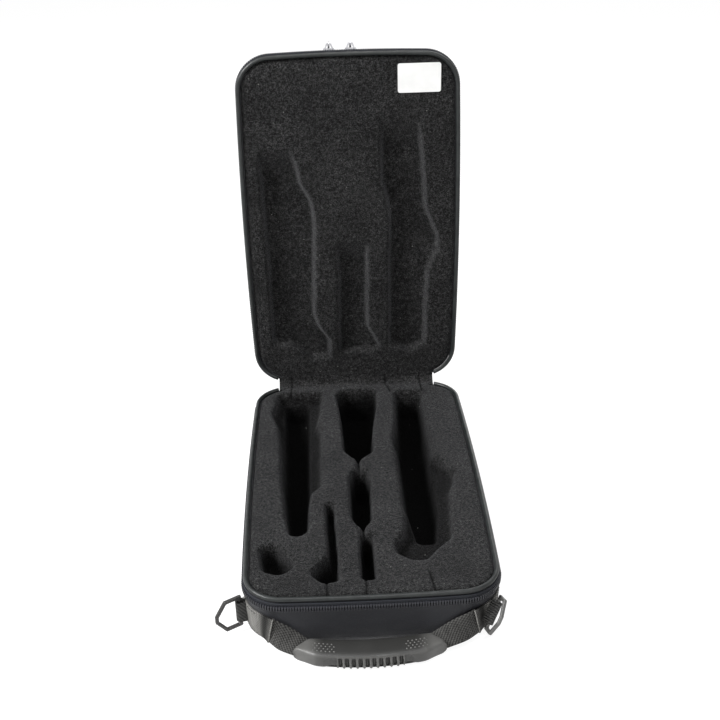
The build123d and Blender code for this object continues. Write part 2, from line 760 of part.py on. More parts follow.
for x_position, side_name in ((pocket_slider_left_x, "left"), (pocket_slider_right_x, "right")):
    frame = pocket_slider_frame(x_position)
    with BuildPart() as pocket_slider:
        add(slider(frame, pocket_teeth_thickness))
    save(pocket_slider.part, f"pocket_slider_{side_name}")
    with BuildPart() as pocket_pull:
        add(pull(frame, pocket_pull_droop))
    save(pocket_pull.part, f"pocket_pull_{side_name}")
    print("pocket slider", side_name, frame.origin, frame.x_dir, frame.y_dir, frame.z_dir)

# Fabric hinge: plush lining inside, nylon strip outside
lining_inner = rest_offset + wall_top + 1.0
lining_outer = lining_inner + lining_thickness
lining_centre = (case_length / 2 - wall_top, base_height + rest_offset + wall_top)
side_view = Plane(origin=(0, 0, 0), x_dir=(0, 1, 0), z_dir=(1, 0, 0))
with BuildPart() as hinge_lining:
    with BuildSketch(side_view):
        with BuildLine():
            cy, cz = lining_centre
            lean = sin(radians(45))
            ThreePointArc((cy, cz - lining_outer), (cy + lining_outer * lean, cz - lining_outer * lean),
                          (cy + lining_outer, cz))
            Line((cy + lining_outer, cz), (cy + lining_inner, cz))
            ThreePointArc((cy + lining_inner, cz), (cy + lining_inner * lean, cz - lining_inner * lean),
                          (cy, cz - lining_inner))
            Line((cy, cz - lining_inner), (cy, cz - lining_outer))
        make_face()
    extrude(amount=hinge_half_width, both=True)
save(hinge_lining.part, "hinge_lining")

# The strip is sewn to both walls outside; its middle line runs up the base, round the gap and along the lid
strip_offset = strip_clearance + strip_thickness / 2
wall_y = case_length / 2 - cover_inset
wall_z = base_height - wall_top
strip_top_z = wall_z - strip_free
strip_low_z = strip_top_z - strip_sewn_length
base_lean = tan(radians(base_draft))
lid_lean = tan(radians(lid_draft))
lid_wall_z = lid_rim.origin.Z + cover_inset
strip_points = [
    (wall_y - (wall_z - strip_low_z) * base_lean + strip_offset, strip_low_z),
    (wall_y - (wall_z - strip_top_z) * base_lean + strip_offset, strip_top_z),
]
for along in (strip_free, strip_free + strip_sewn_length):
    strip_points.append((lid_rim.origin.Y + wall_top + along, lid_wall_z + along * lid_lean - strip_offset))
with BuildPart() as hinge_strip:
    with BuildSketch(side_view):
        with BuildLine():
            FilletPolyline(*strip_points, radius=strip_bend)
        trace(line_width=strip_thickness)
    extrude(amount=hinge_half_width, both=True)
save(hinge_strip.part, "hinge_strip")
print("strip line", strip_points)
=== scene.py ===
import json
from dataclasses import dataclass
from math import atan2, cos, exp, pi, radians, sin, sqrt, tan

import bmesh
import bpy
import numpy as np
from mathutils import Matrix, Vector, noise
from mathutils.bvhtree import BVHTree


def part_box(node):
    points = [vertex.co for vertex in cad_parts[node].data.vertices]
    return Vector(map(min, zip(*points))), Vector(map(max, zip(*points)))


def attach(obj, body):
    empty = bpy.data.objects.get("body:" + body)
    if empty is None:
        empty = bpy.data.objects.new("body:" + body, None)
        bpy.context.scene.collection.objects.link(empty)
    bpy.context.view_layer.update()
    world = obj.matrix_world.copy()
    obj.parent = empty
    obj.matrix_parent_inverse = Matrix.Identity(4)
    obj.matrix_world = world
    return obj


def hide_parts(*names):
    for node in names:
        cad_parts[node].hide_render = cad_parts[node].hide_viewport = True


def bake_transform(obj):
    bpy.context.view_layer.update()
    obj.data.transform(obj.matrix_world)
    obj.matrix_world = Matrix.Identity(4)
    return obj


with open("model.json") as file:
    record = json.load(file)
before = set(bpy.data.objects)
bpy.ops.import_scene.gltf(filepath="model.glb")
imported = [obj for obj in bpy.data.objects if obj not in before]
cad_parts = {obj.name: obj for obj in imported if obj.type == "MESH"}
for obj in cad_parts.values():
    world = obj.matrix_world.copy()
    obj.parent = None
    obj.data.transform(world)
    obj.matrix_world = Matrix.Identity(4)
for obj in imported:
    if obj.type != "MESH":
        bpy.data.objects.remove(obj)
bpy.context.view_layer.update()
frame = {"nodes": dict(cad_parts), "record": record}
nodes = frame["nodes"]
MM = 0.001

# Sizes shared with the construction, in metres
case_width = 206.0 * MM
case_length = 337.6 * MM
side_bow = 3.0 * MM
front_bow = 3.0 * MM
corner_radius = 33.5 * MM
base_height = 50.0 * MM
rim_gap = 3.0 * MM
cover_inset = 0.5 * MM
wall_top = 4.0 * MM
insert_drop = 1.5 * MM
hinge_half_width = 80.0 * MM
lining_half_width = 80.6 * MM

scene = bpy.context.scene
collection = scene.collection


# Camera, fitted to the photograph


def make_camera():
    yaw = radians(-1.762)
    pitch = radians(28.231)
    roll = radians(-1.445)
    place = (-0.0268, -0.8502, 0.6248)
    to_view = Matrix(((1, 0, 0), (0, 0, -1), (0, 1, 0)))
    turn = Matrix.Rotation(-yaw, 3, "Z")
    tilt = Matrix.Rotation(pitch, 3, "X")
    lean = Matrix.Rotation(roll, 3, "Z")
    right, down, ahead = lean @ tilt @ to_view @ turn
    data = bpy.data.cameras.new("camera")
    data.sensor_width = 36.0
    data.lens = 55.6
    data.clip_end = 20.0
    camera = bpy.data.objects.new("camera", data)
    axes = Matrix((right, -down, -ahead)).transposed()
    camera.matrix_world = Matrix.Translation(place) @ axes.to_4x4()
    collection.objects.link(camera)
    scene.camera = camera


# Materials. Texture scales are for each metre, and bump distances in metres


def set_input(tree, socket, value):
    """Puts a number, a vector, a colour or another node's output into a socket."""
    if isinstance(value, bpy.types.NodeSocket):
        tree.links.new(value, socket)
    elif isinstance(value, tuple):
        socket.default_value = (*value, 1.0)[: len(socket.default_value)]
    else:
        socket.default_value = value


def add_node(tree, kind, **inputs):
    node = tree.nodes.new(f"ShaderNode{kind}")
    for name, value in inputs.items():
        set_input(tree, node.inputs[name], value)
    return node


def add_math(tree, operation, first, second):
    node = add_node(tree, "Math")
    node.operation = operation
    set_input(tree, node.inputs[0], first)
    set_input(tree, node.inputs[1], second)
    return node.outputs[0]


class Shader:
    """A Principled material and short calls for the nodes that give it colour and bump."""

    def __init__(self, name, **sockets):
        self.material = bpy.data.materials.new(name)
        self.material.use_nodes = True
        self.tree = self.material.node_tree
        self.place = self.node("TexCoord")
        self.set(**sockets)

    def set(self, **sockets):
        """Sets inputs of the Principled node; underscores stand for spaces."""
        principled = self.tree.nodes["Principled BSDF"]
        for name, value in sockets.items():
            set_input(self.tree, principled.inputs[name.replace("_", " ")], value)

    def node(self, kind, **inputs):
        return add_node(self.tree, kind, **inputs)

    def texture(self, kind, scale, stretch, uv, **inputs):
        place = self.place.outputs["UV" if uv else "Object"]
        mapping = self.node("Mapping", Scale=stretch, Vector=place)
        return self.node(kind, Scale=scale, Vector=mapping.outputs["Vector"], **inputs)

    def noise(self, scale, detail=2.0, stretch=(1, 1, 1), uv=False, roughness=0.5):
        node = self.texture("TexNoise", scale, stretch, uv, Detail=detail, Roughness=roughness)
        return node.outputs["Fac"]

    def cells(self, scale):
        return self.texture("TexVoronoi", scale, (1, 1, 1), False).outputs["Distance"]

    def wave(self, scale, direction, stretch=(1, 1, 1), uv=False, distortion=0.0):
        node = self.texture("TexWave", scale, stretch, uv, Distortion=distortion)
        node.bands_direction = direction
        return node.outputs["Fac"]

    def shade(self):
        """The mesh's own shade value, from 0 where light reaches to 1 deep in a pocket or fold."""
        node = self.node("Attribute")
        node.attribute_name = "shade"
        return node.outputs["Fac"]

    def math(self, operation, first, second):
        return add_math(self.tree, operation, first, second)

    def total(self, *terms):
        """Sum of (value, weight) terms."""
        parts = [self.math("MULTIPLY", value, weight) for value, weight in terms]
        result = parts[0]
        for part in parts[1:]:
            result = self.math("ADD", result, part)
        return result

    def ramp(self, value, low, low_colour, high, high_colour):
        """Colour that goes from one tone to another while the value goes from low to high."""
        node = self.node("ValToRGB", Fac=value)
        stops = ((low, low_colour), (high, high_colour))
        for element, (position, colour) in zip(node.color_ramp.elements, stops):
            element.position = position
            element.color = (*colour, 1.0)
        return node.outputs["Color"]

    def mix(self, factor, first, second, blend="MIX"):
        node = self.node("Mix")
        node.data_type = "RGBA"
        node.blend_type = blend
        for number, value in ((0, factor), (6, first), (7, second)):
            set_input(self.tree, node.inputs[number], value)
        return node.outputs[2]

    def bump(self, height, distance, strength):
        """Adds a bump on top of those already there."""
        node = self.node("Bump", Strength=strength, Distance=distance, Height=height)
        for link in self.tree.nodes["Principled BSDF"].inputs["Normal"].links:
            set_input(self.tree, node.inputs["Normal"], link.from_socket)
        self.set(Normal=node.outputs["Normal"])


def grey(value):
    return (value, value, value)


def scaled(colour, factor):
    return tuple(c * factor for c in colour)


def bands(pitch):
    """Scale of a wave texture whose bands lie a pitch apart."""
    return 2 * pi / (20 * pitch)


def plush_material(name, dark, middle, light):
    """Short pile: fine flecks over soft cloudy patches, with bright fibre tips at grazing angles."""
    plush = Shader(name, Roughness=0.95, Sheen_Roughness=0.4, Specular_IOR_Level=0.05)
    fibre = plush.noise(1700, 3.0, roughness=0.75)
    tuft = plush.noise(820, 2.0, (1.0, 0.85, 1.0), roughness=0.6)
    mottle = plush.noise(330, 3.0)
    cloud = plush.noise(22, 3.0)
    pile = plush.ramp(fibre, 0.36, dark, 0.74, light)
    pile.node.color_ramp.elements.new(0.56).color = (*middle, 1.0)
    for pattern, spread, dim, bright in (
        (cloud, 0.2, 0.72, 1.2),
        (tuft, 0.14, 0.25, 1.8),
        (mottle, 0.14, 0.55, 1.45),
    ):
        tone = plush.ramp(pattern, 0.5 - spread, grey(dim), 0.5 + spread, grey(bright))
        pile = plush.mix(1.0, pile, tone, "MULTIPLY")
    shade = plush.shade()
    # Painted shade: the pile goes towards a tenth of its dark tone where the mesh's shade value says, deep
    # in pockets and along seams.
    pile = plush.mix(shade, pile, scaled(dark, 0.1))
    lint = plush.math("LESS_THAN", plush.cells(95), 0.045)
    speck = plush.math("MULTIPLY", lint, plush.math("GREATER_THAN", cloud, 0.53))
    # The sheen fades where shade is painted.
    sheen = plush.math("MULTIPLY", plush.math("SUBTRACT", 1.0, shade), 0.12)
    plush.set(Base_Color=plush.mix(speck, pile, (0.2, 0.2, 0.19)))
    plush.set(Sheen_Weight=sheen, Sheen_Tint=(0.75, 0.76, 0.8))
    plush.bump(plush.total((fibre, 1.0), (tuft, 1.3)), 0.0009, 0.9)
    return plush.material


def nylon_material(name, colour):
    """Close nylon cloth: fine threads both ways, faint unevenness and a dull sheen."""
    nylon = Shader(name, Sheen_Weight=0.1, Specular_IOR_Level=0.32)
    across, along, up = [nylon.wave(620, direction) for direction in "XYZ"]
    cloud = nylon.noise(35, 4.0)
    dust = nylon.noise(700, 3.0)
    cloudy = nylon.ramp(cloud, 0.3, scaled(colour, 0.82), 0.7, scaled(colour, 1.15))
    dusty = nylon.math("MULTIPLY", nylon.math("GREATER_THAN", dust, 0.68), 0.25)
    nylon.set(Base_Color=nylon.mix(dusty, cloudy, tuple(c * 2.4 + 0.02 for c in colour)))
    nylon.set(Roughness=nylon.ramp(dust, 0.3, grey(0.48), 0.7, grey(0.66)))
    nylon.bump(nylon.math("ADD", nylon.math("MULTIPLY", across, up), along), 0.00012, 0.5)
    nylon.bump(cloud, 0.002, 0.25)
    return nylon.material


def webbing_material(name, dark, light, pitch=1.5 * MM, twill=False):
    """Woven webbing on a strap's own coordinates: u runs along it and v across, both in metres."""
    webbing = Shader(name, Roughness=0.75, Specular_IOR_Level=0.16)
    if twill:
        first = webbing.wave(bands(pitch) * 1.4, "DIAGONAL", (1, 1, 0), uv=True)
        second = webbing.wave(bands(pitch) * 1.4, "DIAGONAL", (1, -1, 0), uv=True)
    else:
        first = webbing.wave(bands(pitch), "X", (1, 1, 0), uv=True, distortion=0.6)
        second = webbing.wave(bands(pitch) * 0.8, "Y", (1, 1, 0), uv=True, distortion=0.3)
    streak = webbing.noise(420, 3.0, (1.0, 0.1, 1.0), uv=True)
    cloud = webbing.noise(70, 3.0)
    fuzz = webbing.noise(2200)
    weave = webbing.total((first, 0.6), (second, 0.4))
    tone = webbing.total((weave, 0.5), (streak, 0.45), (cloud, 0.2))
    body = webbing.ramp(tone, 0.32, dark, 0.8, light)
    worn = webbing.mix(webbing.math("MULTIPLY", fuzz, 0.25), body, scaled(dark, 0.5))
    # Painted shade: the colour goes towards a much darker tone where the mesh's shade value says, as by the
    # corner webbing's fold.
    webbing.set(Base_Color=webbing.mix(webbing.shade(), worn, scaled(dark, 0.12)))
    webbing.bump(weave, 0.0006, 0.8)
    webbing.bump(fuzz, 0.0002, 0.5)
    return webbing.material


def woven_material(name, dark, light, pitch=1.3 * MM):
    """Webbing on a piece with no strap coordinates: crossing ribs in its own directions."""
    woven = Shader(name, Roughness=0.75, Specular_IOR_Level=0.2)
    ribs = woven.math("ADD", woven.wave(bands(pitch), "Z"), woven.wave(bands(pitch) * 0.7, "DIAGONAL"))
    fuzz = woven.noise(1400, 3.0)
    tone = woven.total((ribs, 0.35), (fuzz, 0.4))
    woven.set(Base_Color=woven.ramp(tone, 0.25, dark, 0.8, light))
    woven.bump(ribs, 0.0004, 0.7)
    woven.bump(fuzz, 0.0002, 0.5)
    return woven.material


def rubber_material(name, colour, roughness, shaded_colour=None):
    """Moulded rubber: fine matt grain, worn high spots and, where shade is painted, the dark shaded colour.
    """
    rubber = Shader(name, Specular_IOR_Level=0.4)
    grain = rubber.noise(2600)
    wear = rubber.noise(60, 4.0)
    worn = rubber.ramp(wear, 0.3, scaled(colour, 0.85), 0.72, scaled(colour, 1.12))
    body = rubber.mix(rubber.math("MULTIPLY", grain, 0.2), worn, scaled(colour, 0.6))
    # Painted shade: where the mesh's shade value says, the colour goes to the given dark tone.
    rubber.set(Base_Color=rubber.mix(rubber.shade(), body, shaded_colour) if shaded_colour else body)
    rubber.set(Roughness=rubber.ramp(wear, 0.3, grey(roughness + 0.08), 0.7, grey(roughness - 0.08)))
    rubber.bump(grain, 0.00015, 0.6)
    return rubber.material


def metal_material(name, colour, roughness, metallic=1.0):
    """Plated or lacquered metal with light smudges and hairline scratches."""
    metal = Shader(name, Metallic=metallic)
    smudge = metal.noise(180, 4.0)
    scratch = metal.noise(900, 2.0, (1.0, 0.08, 1.0))
    dull = min(roughness * 1.5, 1.0)
    metal.set(Base_Color=metal.ramp(smudge, 0.3, scaled(colour, 0.8), 0.7, colour))
    metal.set(Roughness=metal.ramp(scratch, 0.35, grey(roughness * 0.7), 0.65, grey(dull)))
    metal.bump(scratch, 0.00003, 0.4)
    return metal.material


def label_material(name, low, high):
    """Bare plastic plate, a little off white, with a faint paper grain."""
    label = Shader(name, Roughness=0.5, Specular_IOR_Level=0.4)
    label.set(Base_Color=label.ramp(label.noise(70, 3.0), 0.3, low, 0.7, high))
    label.bump(label.noise(900, 3.0), 0.00008, 0.4)
    return label.material


def piping_material(name, low, high):
    """Corded piping: smooth coated cloth with faint gathers."""
    piping = Shader(name, Roughness=0.42, Specular_IOR_Level=0.35)
    gather = piping.noise(160)
    piping.set(Base_Color=piping.ramp(gather, 0.3, low, 0.7, high))
    piping.bump(gather, 0.0006, 0.5)
    piping.bump(piping.noise(1500), 0.0001, 0.4)
    return piping.material


def zip_tape_material(name, low, high):
    """Woven zip tape with ribs along it."""
    tape = Shader(name, Roughness=0.7, Specular_IOR_Level=0.2)
    ribs = tape.wave(180, "Y", uv=True)
    tape.set(Base_Color=tape.ramp(ribs, 0.2, low, 0.8, high))
    tape.bump(ribs, 0.0003, 0.6)
    tape.bump(tape.wave(420, "X", uv=True), 0.0001, 0.4)
    return tape.material


recipes = {
    "plush": (plush_material, (0.0025, 0.0025, 0.0026), (0.02625, 0.02625, 0.0263), grey(0.05)),
    "nylon_shell": (nylon_material, (0.0112, 0.0118, 0.0155)),
    "foam_board": (nylon_material, (0.05, 0.05, 0.055)),
    "piping": (piping_material, (0.007, 0.0085, 0.0085), (0.017, 0.0195, 0.0195)),
    "zip_tape": (zip_tape_material, (0.008, 0.009, 0.012), (0.022, 0.024, 0.03)),
    "zip_teeth": (rubber_material, (0.014, 0.0145, 0.019), 0.45),
    "tape_end": (webbing_material, grey(0.05), grey(0.25)),
    "corner_webbing": (webbing_material, (0.05, 0.049, 0.046), (0.3, 0.295, 0.28)),
    "handle_webbing": (webbing_material, grey(0.009), (0.085, 0.084, 0.08), 2.1 * MM, True),
    "tab_webbing": (woven_material, grey(0.008), (0.075, 0.075, 0.072)),
    # The grip's last colour is the tone of its painted shade.
    "grip_rubber": (rubber_material, (0.1, 0.099, 0.095), 0.42, (0.01, 0.01, 0.0095)),
    "black_steel": (metal_material, (0.055, 0.054, 0.053), 0.25, 0.55),
    "nickel_steel": (metal_material, (0.125, 0.124, 0.121), 0.4, 0.6),
    "slider_metal": (metal_material, (0.5, 0.5, 0.52), 0.3),
    "pull_rubber": (rubber_material, (0.02, 0.02, 0.022), 0.5),
    "label_card": (label_material, (0.7, 0.7, 0.69), (0.76, 0.76, 0.75)),
    "thread": (webbing_material, (0.02, 0.02, 0.022), (0.07, 0.07, 0.075)),
}
materials = {name: make(name, *values) for name, (make, *values) in recipes.items()}


def dress_cad_nodes():
    """Gives every carried-over node its material, which is its slot's apart from two kinds."""
    slot_of_node = {entry["node"]: entry["material_slot"] for entry in frame["record"]["subparts"]}
    for side in ("left", "right"):
        slot_of_node[f"ring_tab_{side}"] = "tab_webbing"
        slot_of_node[f"pocket_pull_{side}"] = "slider_metal"
    for name, node in nodes.items():
        node.data.materials.clear()
        node.data.materials.append(materials[slot_of_node[name]])


# Rim outline, shared by both halves, in (x, t) with t running from the hinge to the free edge


def rim_arcs():
    """The rim as arcs, right and left of its middle line: (centre, radius, first angle, last angle)."""
    side_radius = (case_length**2 / 4 + side_bow**2) / (2 * side_bow)
    free_radius = (case_width**2 / 4 + front_bow**2) / (2 * front_bow)
    side_centre = Vector((case_width / 2 + side_bow - side_radius, case_length / 2))
    free_centre = Vector((0, case_length + front_bow - free_radius))
    inner_side = side_radius - corner_radius
    inner_free = free_radius - corner_radius
    back_x = side_centre.x + sqrt(inner_side**2 - (case_length / 2 - corner_radius) ** 2)
    back = Vector((back_x, corner_radius))
    between = free_centre - side_centre
    along = (between.length**2 + inner_side**2 - inner_free**2) / (2 * between.length)
    across = sqrt(inner_side**2 - along**2)
    direction = between.normalized()
    front = side_centre + direction * along + Vector((-direction.y, direction.x)) * across
    angle_back = atan2(back.y - side_centre.y, back.x - side_centre.x)
    angle_side = atan2(front.y - side_centre.y, front.x - side_centre.x)
    angle_front = atan2(front.y - free_centre.y, front.x - free_centre.x)
    right = [
        (back, corner_radius, -pi / 2, angle_back),
        (side_centre, side_radius, angle_back, angle_side),
        (front, corner_radius, angle_side, angle_front),
        (free_centre, free_radius, angle_front, pi / 2),
    ]
    left = [(Vector((-c.x, c.y)), r, pi - last, pi - first) for c, r, first, last in reversed(right)]
    return right, left


def rim_path(spacing, x_limit=0.0):
    """Points on the rim and their outward normals, from right of the hinge round to left of it.

    With x_limit the path is open and starts and ends at that x beside the hinge; without it, it closes.
    """
    right, left = rim_arcs()
    points, normals = [], []
    for centre, radius, first, last in right + left:
        steps = max(2, round(abs(last - first) * radius / spacing))
        for i in range(steps):
            angle = first + (last - first) * i / steps
            normals.append((cos(angle), sin(angle)))
            points.append((centre.x + radius * cos(angle), centre.y + radius * sin(angle)))
    start_x = right[0][0].x
    steps = round(2 * start_x / spacing)
    for i in range(steps):
        points.append((-start_x + 2 * start_x * i / steps, 0.0))
        normals.append((0.0, -1.0))
    points, normals = np.array(points), np.array(normals)
    keep = (np.abs(points[:, 0]) >= x_limit) | (points[:, 1] > corner_radius)
    return points[keep], normals[keep]


@dataclass
class Half:
    """One half of the case. Place is the way from (x, t, depth) to the shared frame."""

    name: str
    draft: float
    place: object
    inward: Vector
    insert_depth: float
    noise_row: float

    def rim(self, points, normals, depth, inset):
        """Points at a depth, inset from the rim's outline and not from the tapered wall."""
        flat = points - normals * inset
        return self.place(flat[:, 0], flat[:, 1], np.full(len(flat), depth))

    def wall(self, points, normals, depth, proud):
        """Points proud of the outer wall at a depth below the rim."""
        inset = cover_inset + (depth - wall_top) * tan(self.draft) - proud
        return self.rim(points, normals, depth, inset)


def place_in_base(x, t, depth):
    return np.stack([x, case_length / 2 - t, base_height - depth], axis=-1)


def place_in_lid(x, t, depth):
    return np.stack([x, case_length / 2 + rim_gap + depth, base_height + rim_gap + t], axis=-1)


base_half = Half("base", radians(2.5), place_in_base, Vector((0, 0, -1)), 41.0 * MM, 3.1)
lid_half = Half("lid", radians(14.0), place_in_lid, Vector((0, 1, 0)), 22.5 * MM, 9.7)


# Mesh helpers


def new_object(name, vertices, faces, material, smooth=True, uvs=None, shades=None, crisp=None):
    """An object with outward normals. With crisp, edges sharper than so many degrees stay sharp."""
    mesh = bpy.data.meshes.new(name)
    mesh.from_pydata([tuple(v) for v in vertices], [], faces)
    mesh.materials.append(materials[material])
    if uvs is not None:
        layer = mesh.uv_layers.new(name="strap")
        loops = np.empty(len(mesh.loops), dtype=np.int32)
        mesh.loops.foreach_get("vertex_index", loops)
        layer.data.foreach_set("uv", np.asarray(uvs)[loops].astype(np.float32).ravel())
    if shades is not None:
        layer = mesh.attributes.new("shade", "FLOAT", "POINT")
        layer.data.foreach_set("value", np.asarray(shades, dtype=np.float32))
    mesh.validate()
    mesh.polygons.foreach_set("use_smooth", [smooth] * len(mesh.polygons))
    edit = bmesh.new()
    edit.from_mesh(mesh)
    bmesh.ops.remove_doubles(edit, verts=edit.verts, dist=1e-6)
    bmesh.ops.recalc_face_normals(edit, faces=edit.faces)
    for edge in edit.edges if crisp else ():
        edge.smooth = len(edge.link_faces) == 2 and edge.calc_face_angle(0) < radians(crisp)
    edit.to_mesh(mesh)
    edit.free()
    piece = bpy.data.objects.new(name, mesh)
    collection.objects.link(piece)
    return piece


def distances(points):
    """Distance run along the points, from 0."""
    steps = np.linalg.norm(np.diff(points, axis=0), axis=1)
    return np.concatenate([[0.0], np.cumsum(steps)])


def eased(share):
    """Smooth step from 0 to 1."""
    share = np.clip(share, 0, 1)
    return share * share * (3 - 2 * share)


def tube_faces(first, count, size, start_cap=True):
    """Faces of a tube of equal rings, whose vertices start at first, with its ends capped."""
    last = first + (count - 1) * size
    faces = []
    for a in range(first, last, size):
        for k in range(size):
            m = (k + 1) % size
            faces.append((a + k, a + size + k, a + size + m, a + m))
    if start_cap:
        faces.append(tuple(range(first, first + size)))
    return [*faces, tuple(reversed(range(last, last + size)))]


def loft(name, rings, material, across=None, shades=None, crisp=None):
    """Skin through rings of equal count, each a closed section, with capped ends.

    Across gives each ring point's v. Shades hold one value for each ring, or one for each point.
    """
    rings = np.asarray(rings)
    count, size = rings.shape[:2]
    along = distances(rings.mean(axis=1))
    across = distances(rings[0]) if across is None else across
    uvs = np.array([(along[i], across[k]) for i in range(count) for k in range(size)])
    if shades is not None:
        shades = np.asarray(shades, dtype=float)
        shades = np.repeat(shades, size) if shades.ndim == 1 else shades.ravel()
    faces = tube_faces(0, count, size)
    return new_object(name, rings.reshape(-1, 3), faces, material, True, uvs, shades, crisp)


def soft_strip(thickness, top, bottom, steps=6):
    """Section of a strip on a wall, with rounded corners: (proud, depth) pairs."""
    edge = thickness * 0.45
    section = [(0.0, top + edge * 0.4), (thickness - edge, top), (thickness, top + edge)]
    for i in range(1, steps):
        section.append((thickness, top + edge + (bottom - top - 2 * edge) * i / steps))
    section += [(thickness, bottom - edge), (thickness - edge, bottom), (0.0, bottom - edge * 0.4)]
    return section


def wall_sweep(name, half, path, section, material):
    """Sweeps a (proud, depth) section round the wall of a half."""
    rings = np.stack([half.wall(*path, depth, proud) for proud, depth in section], axis=1)
    return loft(name, rings, material, distances(np.array(section)))


def rim_sweep(name, half, path, section, material):
    """Sweeps an (inset, depth) section round the rim."""
    rings = np.stack([half.rim(*path, depth, inset) for inset, depth in section], axis=1)
    return loft(name, rings, material)


def extrude_loop(mesh, edges):
    """Extrudes an open edge loop and gives the new loop and its vertices."""
    made = bmesh.ops.extrude_edge_only(mesh, edges=edges)["geom"]
    loop = [item for item in made if isinstance(item, bmesh.types.BMEdge) and item.is_boundary]
    return loop, [item for item in made if isinstance(item, bmesh.types.BMVert)]


def soft_object(name, mesh, material):
    """Turns a bmesh into a smooth object with outward normals."""
    bmesh.ops.recalc_face_normals(mesh, faces=mesh.faces)
    for face in mesh.faces:
        face.smooth = True
    data = bpy.data.meshes.new(name)
    mesh.to_mesh(data)
    mesh.free()
    data.materials.append(materials[material])
    piece = bpy.data.objects.new(name, data)
    collection.objects.link(piece)
    return piece


def tree_of(node):
    mesh = node.data
    return BVHTree.FromPolygons([v.co for v in mesh.vertices], [tuple(p.vertices) for p in mesh.polygons])


def blurred_line(line, sigma, reach):
    """Gaussian blur with the end values carried outward. Sigma and reach are in points."""
    kernel = np.exp(-0.5 * (np.arange(-reach, reach + 1) / sigma) ** 2)
    return np.convolve(np.pad(line, reach, mode="edge"), kernel / kernel.sum(), "valid")


def blurred(field, sigma):
    for axis in (0, 1):
        field = np.apply_along_axis(blurred_line, axis, field, sigma, max(1, int(3 * sigma + 0.5)))
    return field


# Plush inserts

plush_cell = 0.9 * MM
plush_inset = 4.4 * MM
hinge_overlap = 3.4 * MM
lip_depth = 6.0 * MM
shade_start = 1.2 * MM
shade_depth = 9.5 * MM
seam_depth = 1.3 * MM
seam_half_width = 1.1 * MM
seam_swell = 0.5 * MM
swell_half_width = 4.5 * MM
seam_fade = 3.0 * MM
roll_width = 5.0 * MM
roll_drop = 2.6 * MM
ripple_height = 0.35 * MM
ripple_scale = 38

# Seams beside the hinge and at the front: (x in millimetres, lean)
back_seams = ((-67.6, -0.05), (30.0, 0.22), (66.5, 0.05))
front_seams = ((-36.3, 0.0), (-4.8, 0.0), (46.5, 0.12))

# Seams of the base: (x, lean, t from, t to)
base_seams = [(x * MM, lean, -3 * MM, 19 * MM) for x, lean in back_seams]
base_seams += [(x * MM, lean, 310 * MM, 339 * MM) for x, lean in front_seams]

# Where the lid's recesses run out: (x from, x to, t where the fade starts, t where it ends)
lid_fades = (
    (-95 * MM, -20 * MM, 222 * MM, 257 * MM),
    (17 * MM, 95 * MM, 244 * MM, 281 * MM),
    (-19 * MM, 30 * MM, 130 * MM, 162 * MM),
)


def insert_depths(half, node, xs, ts):
    """Depth of a node's surface below the rim, looked up straight into the case, or else the plush's top."""
    tree = tree_of(node)
    start = -20 * MM
    depths = np.full((len(xs), len(ts)), insert_drop)
    for i, x in enumerate(xs):
        places = half.place(np.full(len(ts), x), ts, np.full(len(ts), start))
        for j, place in enumerate(places):
            hit = tree.ray_cast(Vector(place), half.inward)
            if hit[0] is not None:
                depths[i, j] = max(start + hit[3], insert_drop)
    return depths


def pocket_recess(half, node, xs, ts, fades, lip, wall):
    """How deep the plush lies below its own top: the node's pockets, faded and softened."""
    grid_x, grid_t = np.meshgrid(xs, ts, indexing="ij")
    depth = insert_depths(half, node, xs, ts)
    from_middle = np.hypot(np.abs(grid_x) / (case_width / 2 + side_bow), (grid_t / case_length - 0.5) * 2)
    recess = np.where(from_middle > 1.39, insert_drop, depth) - insert_drop
    for x_low, x_high, t_full, t_end in fades:
        share = eased((t_end - grid_t) / (t_end - t_full))
        fading = (grid_x > x_low) & (grid_x < x_high) & (grid_t > t_full)
        recess = np.where(fading, recess * share, recess)
    upper = np.minimum(recess, lip_depth)
    return blurred(upper, lip / plush_cell) + blurred(recess - upper, wall / plush_cell)


def sew_seams(sheet, shade, grid_x, grid_t, seams):
    """Presses each seam into the sheet with a faint swell beside it, and paints shade along its crease."""
    for x_seam, lean, t_from, t_to in seams:
        off_line = grid_x - x_seam - lean * (grid_t - t_from)
        ends = np.clip((grid_t - t_from) / seam_fade, 0, 1) * np.clip((t_to - grid_t) / seam_fade, 0, 1)
        crease = np.exp(-((off_line / seam_half_width) ** 2)) * ends
        swell = np.exp(-((off_line / swell_half_width) ** 2)) * ends
        sheet = sheet + seam_depth * crease - seam_swell * swell
        # Painted shade along the seam's crease.
        shade = np.maximum(shade, 0.8 * crease)
    return sheet, shade


def distance_inside(grid_x, grid_t):
    """How far each grid point lies inside the plush's edge, and the outward normal there."""
    points, normals = rim_path(1.5 * MM)
    beside_hinge = np.clip((hinge_half_width - np.abs(points[:, 0])) / (4 * MM), 0, 1)
    beside_hinge *= points[:, 1] < 4 * MM
    edge = points - normals * (plush_inset - hinge_overlap * beside_hinge)[:, None]
    inside = np.zeros(grid_x.shape)
    outward = np.zeros((*grid_x.shape, 2))
    rows = np.arange(grid_x.shape[1])
    for i in range(len(grid_x)):
        offset = np.stack([grid_x[i], grid_t[i]], axis=-1)[:, None] - edge
        nearest = np.argmin(offset[..., 0] ** 2 + offset[..., 1] ** 2, axis=1)
        outward[i] = normals[nearest]
        inside[i] = -(offset[rows, nearest] * outward[i]).sum(axis=1)
    return inside, outward


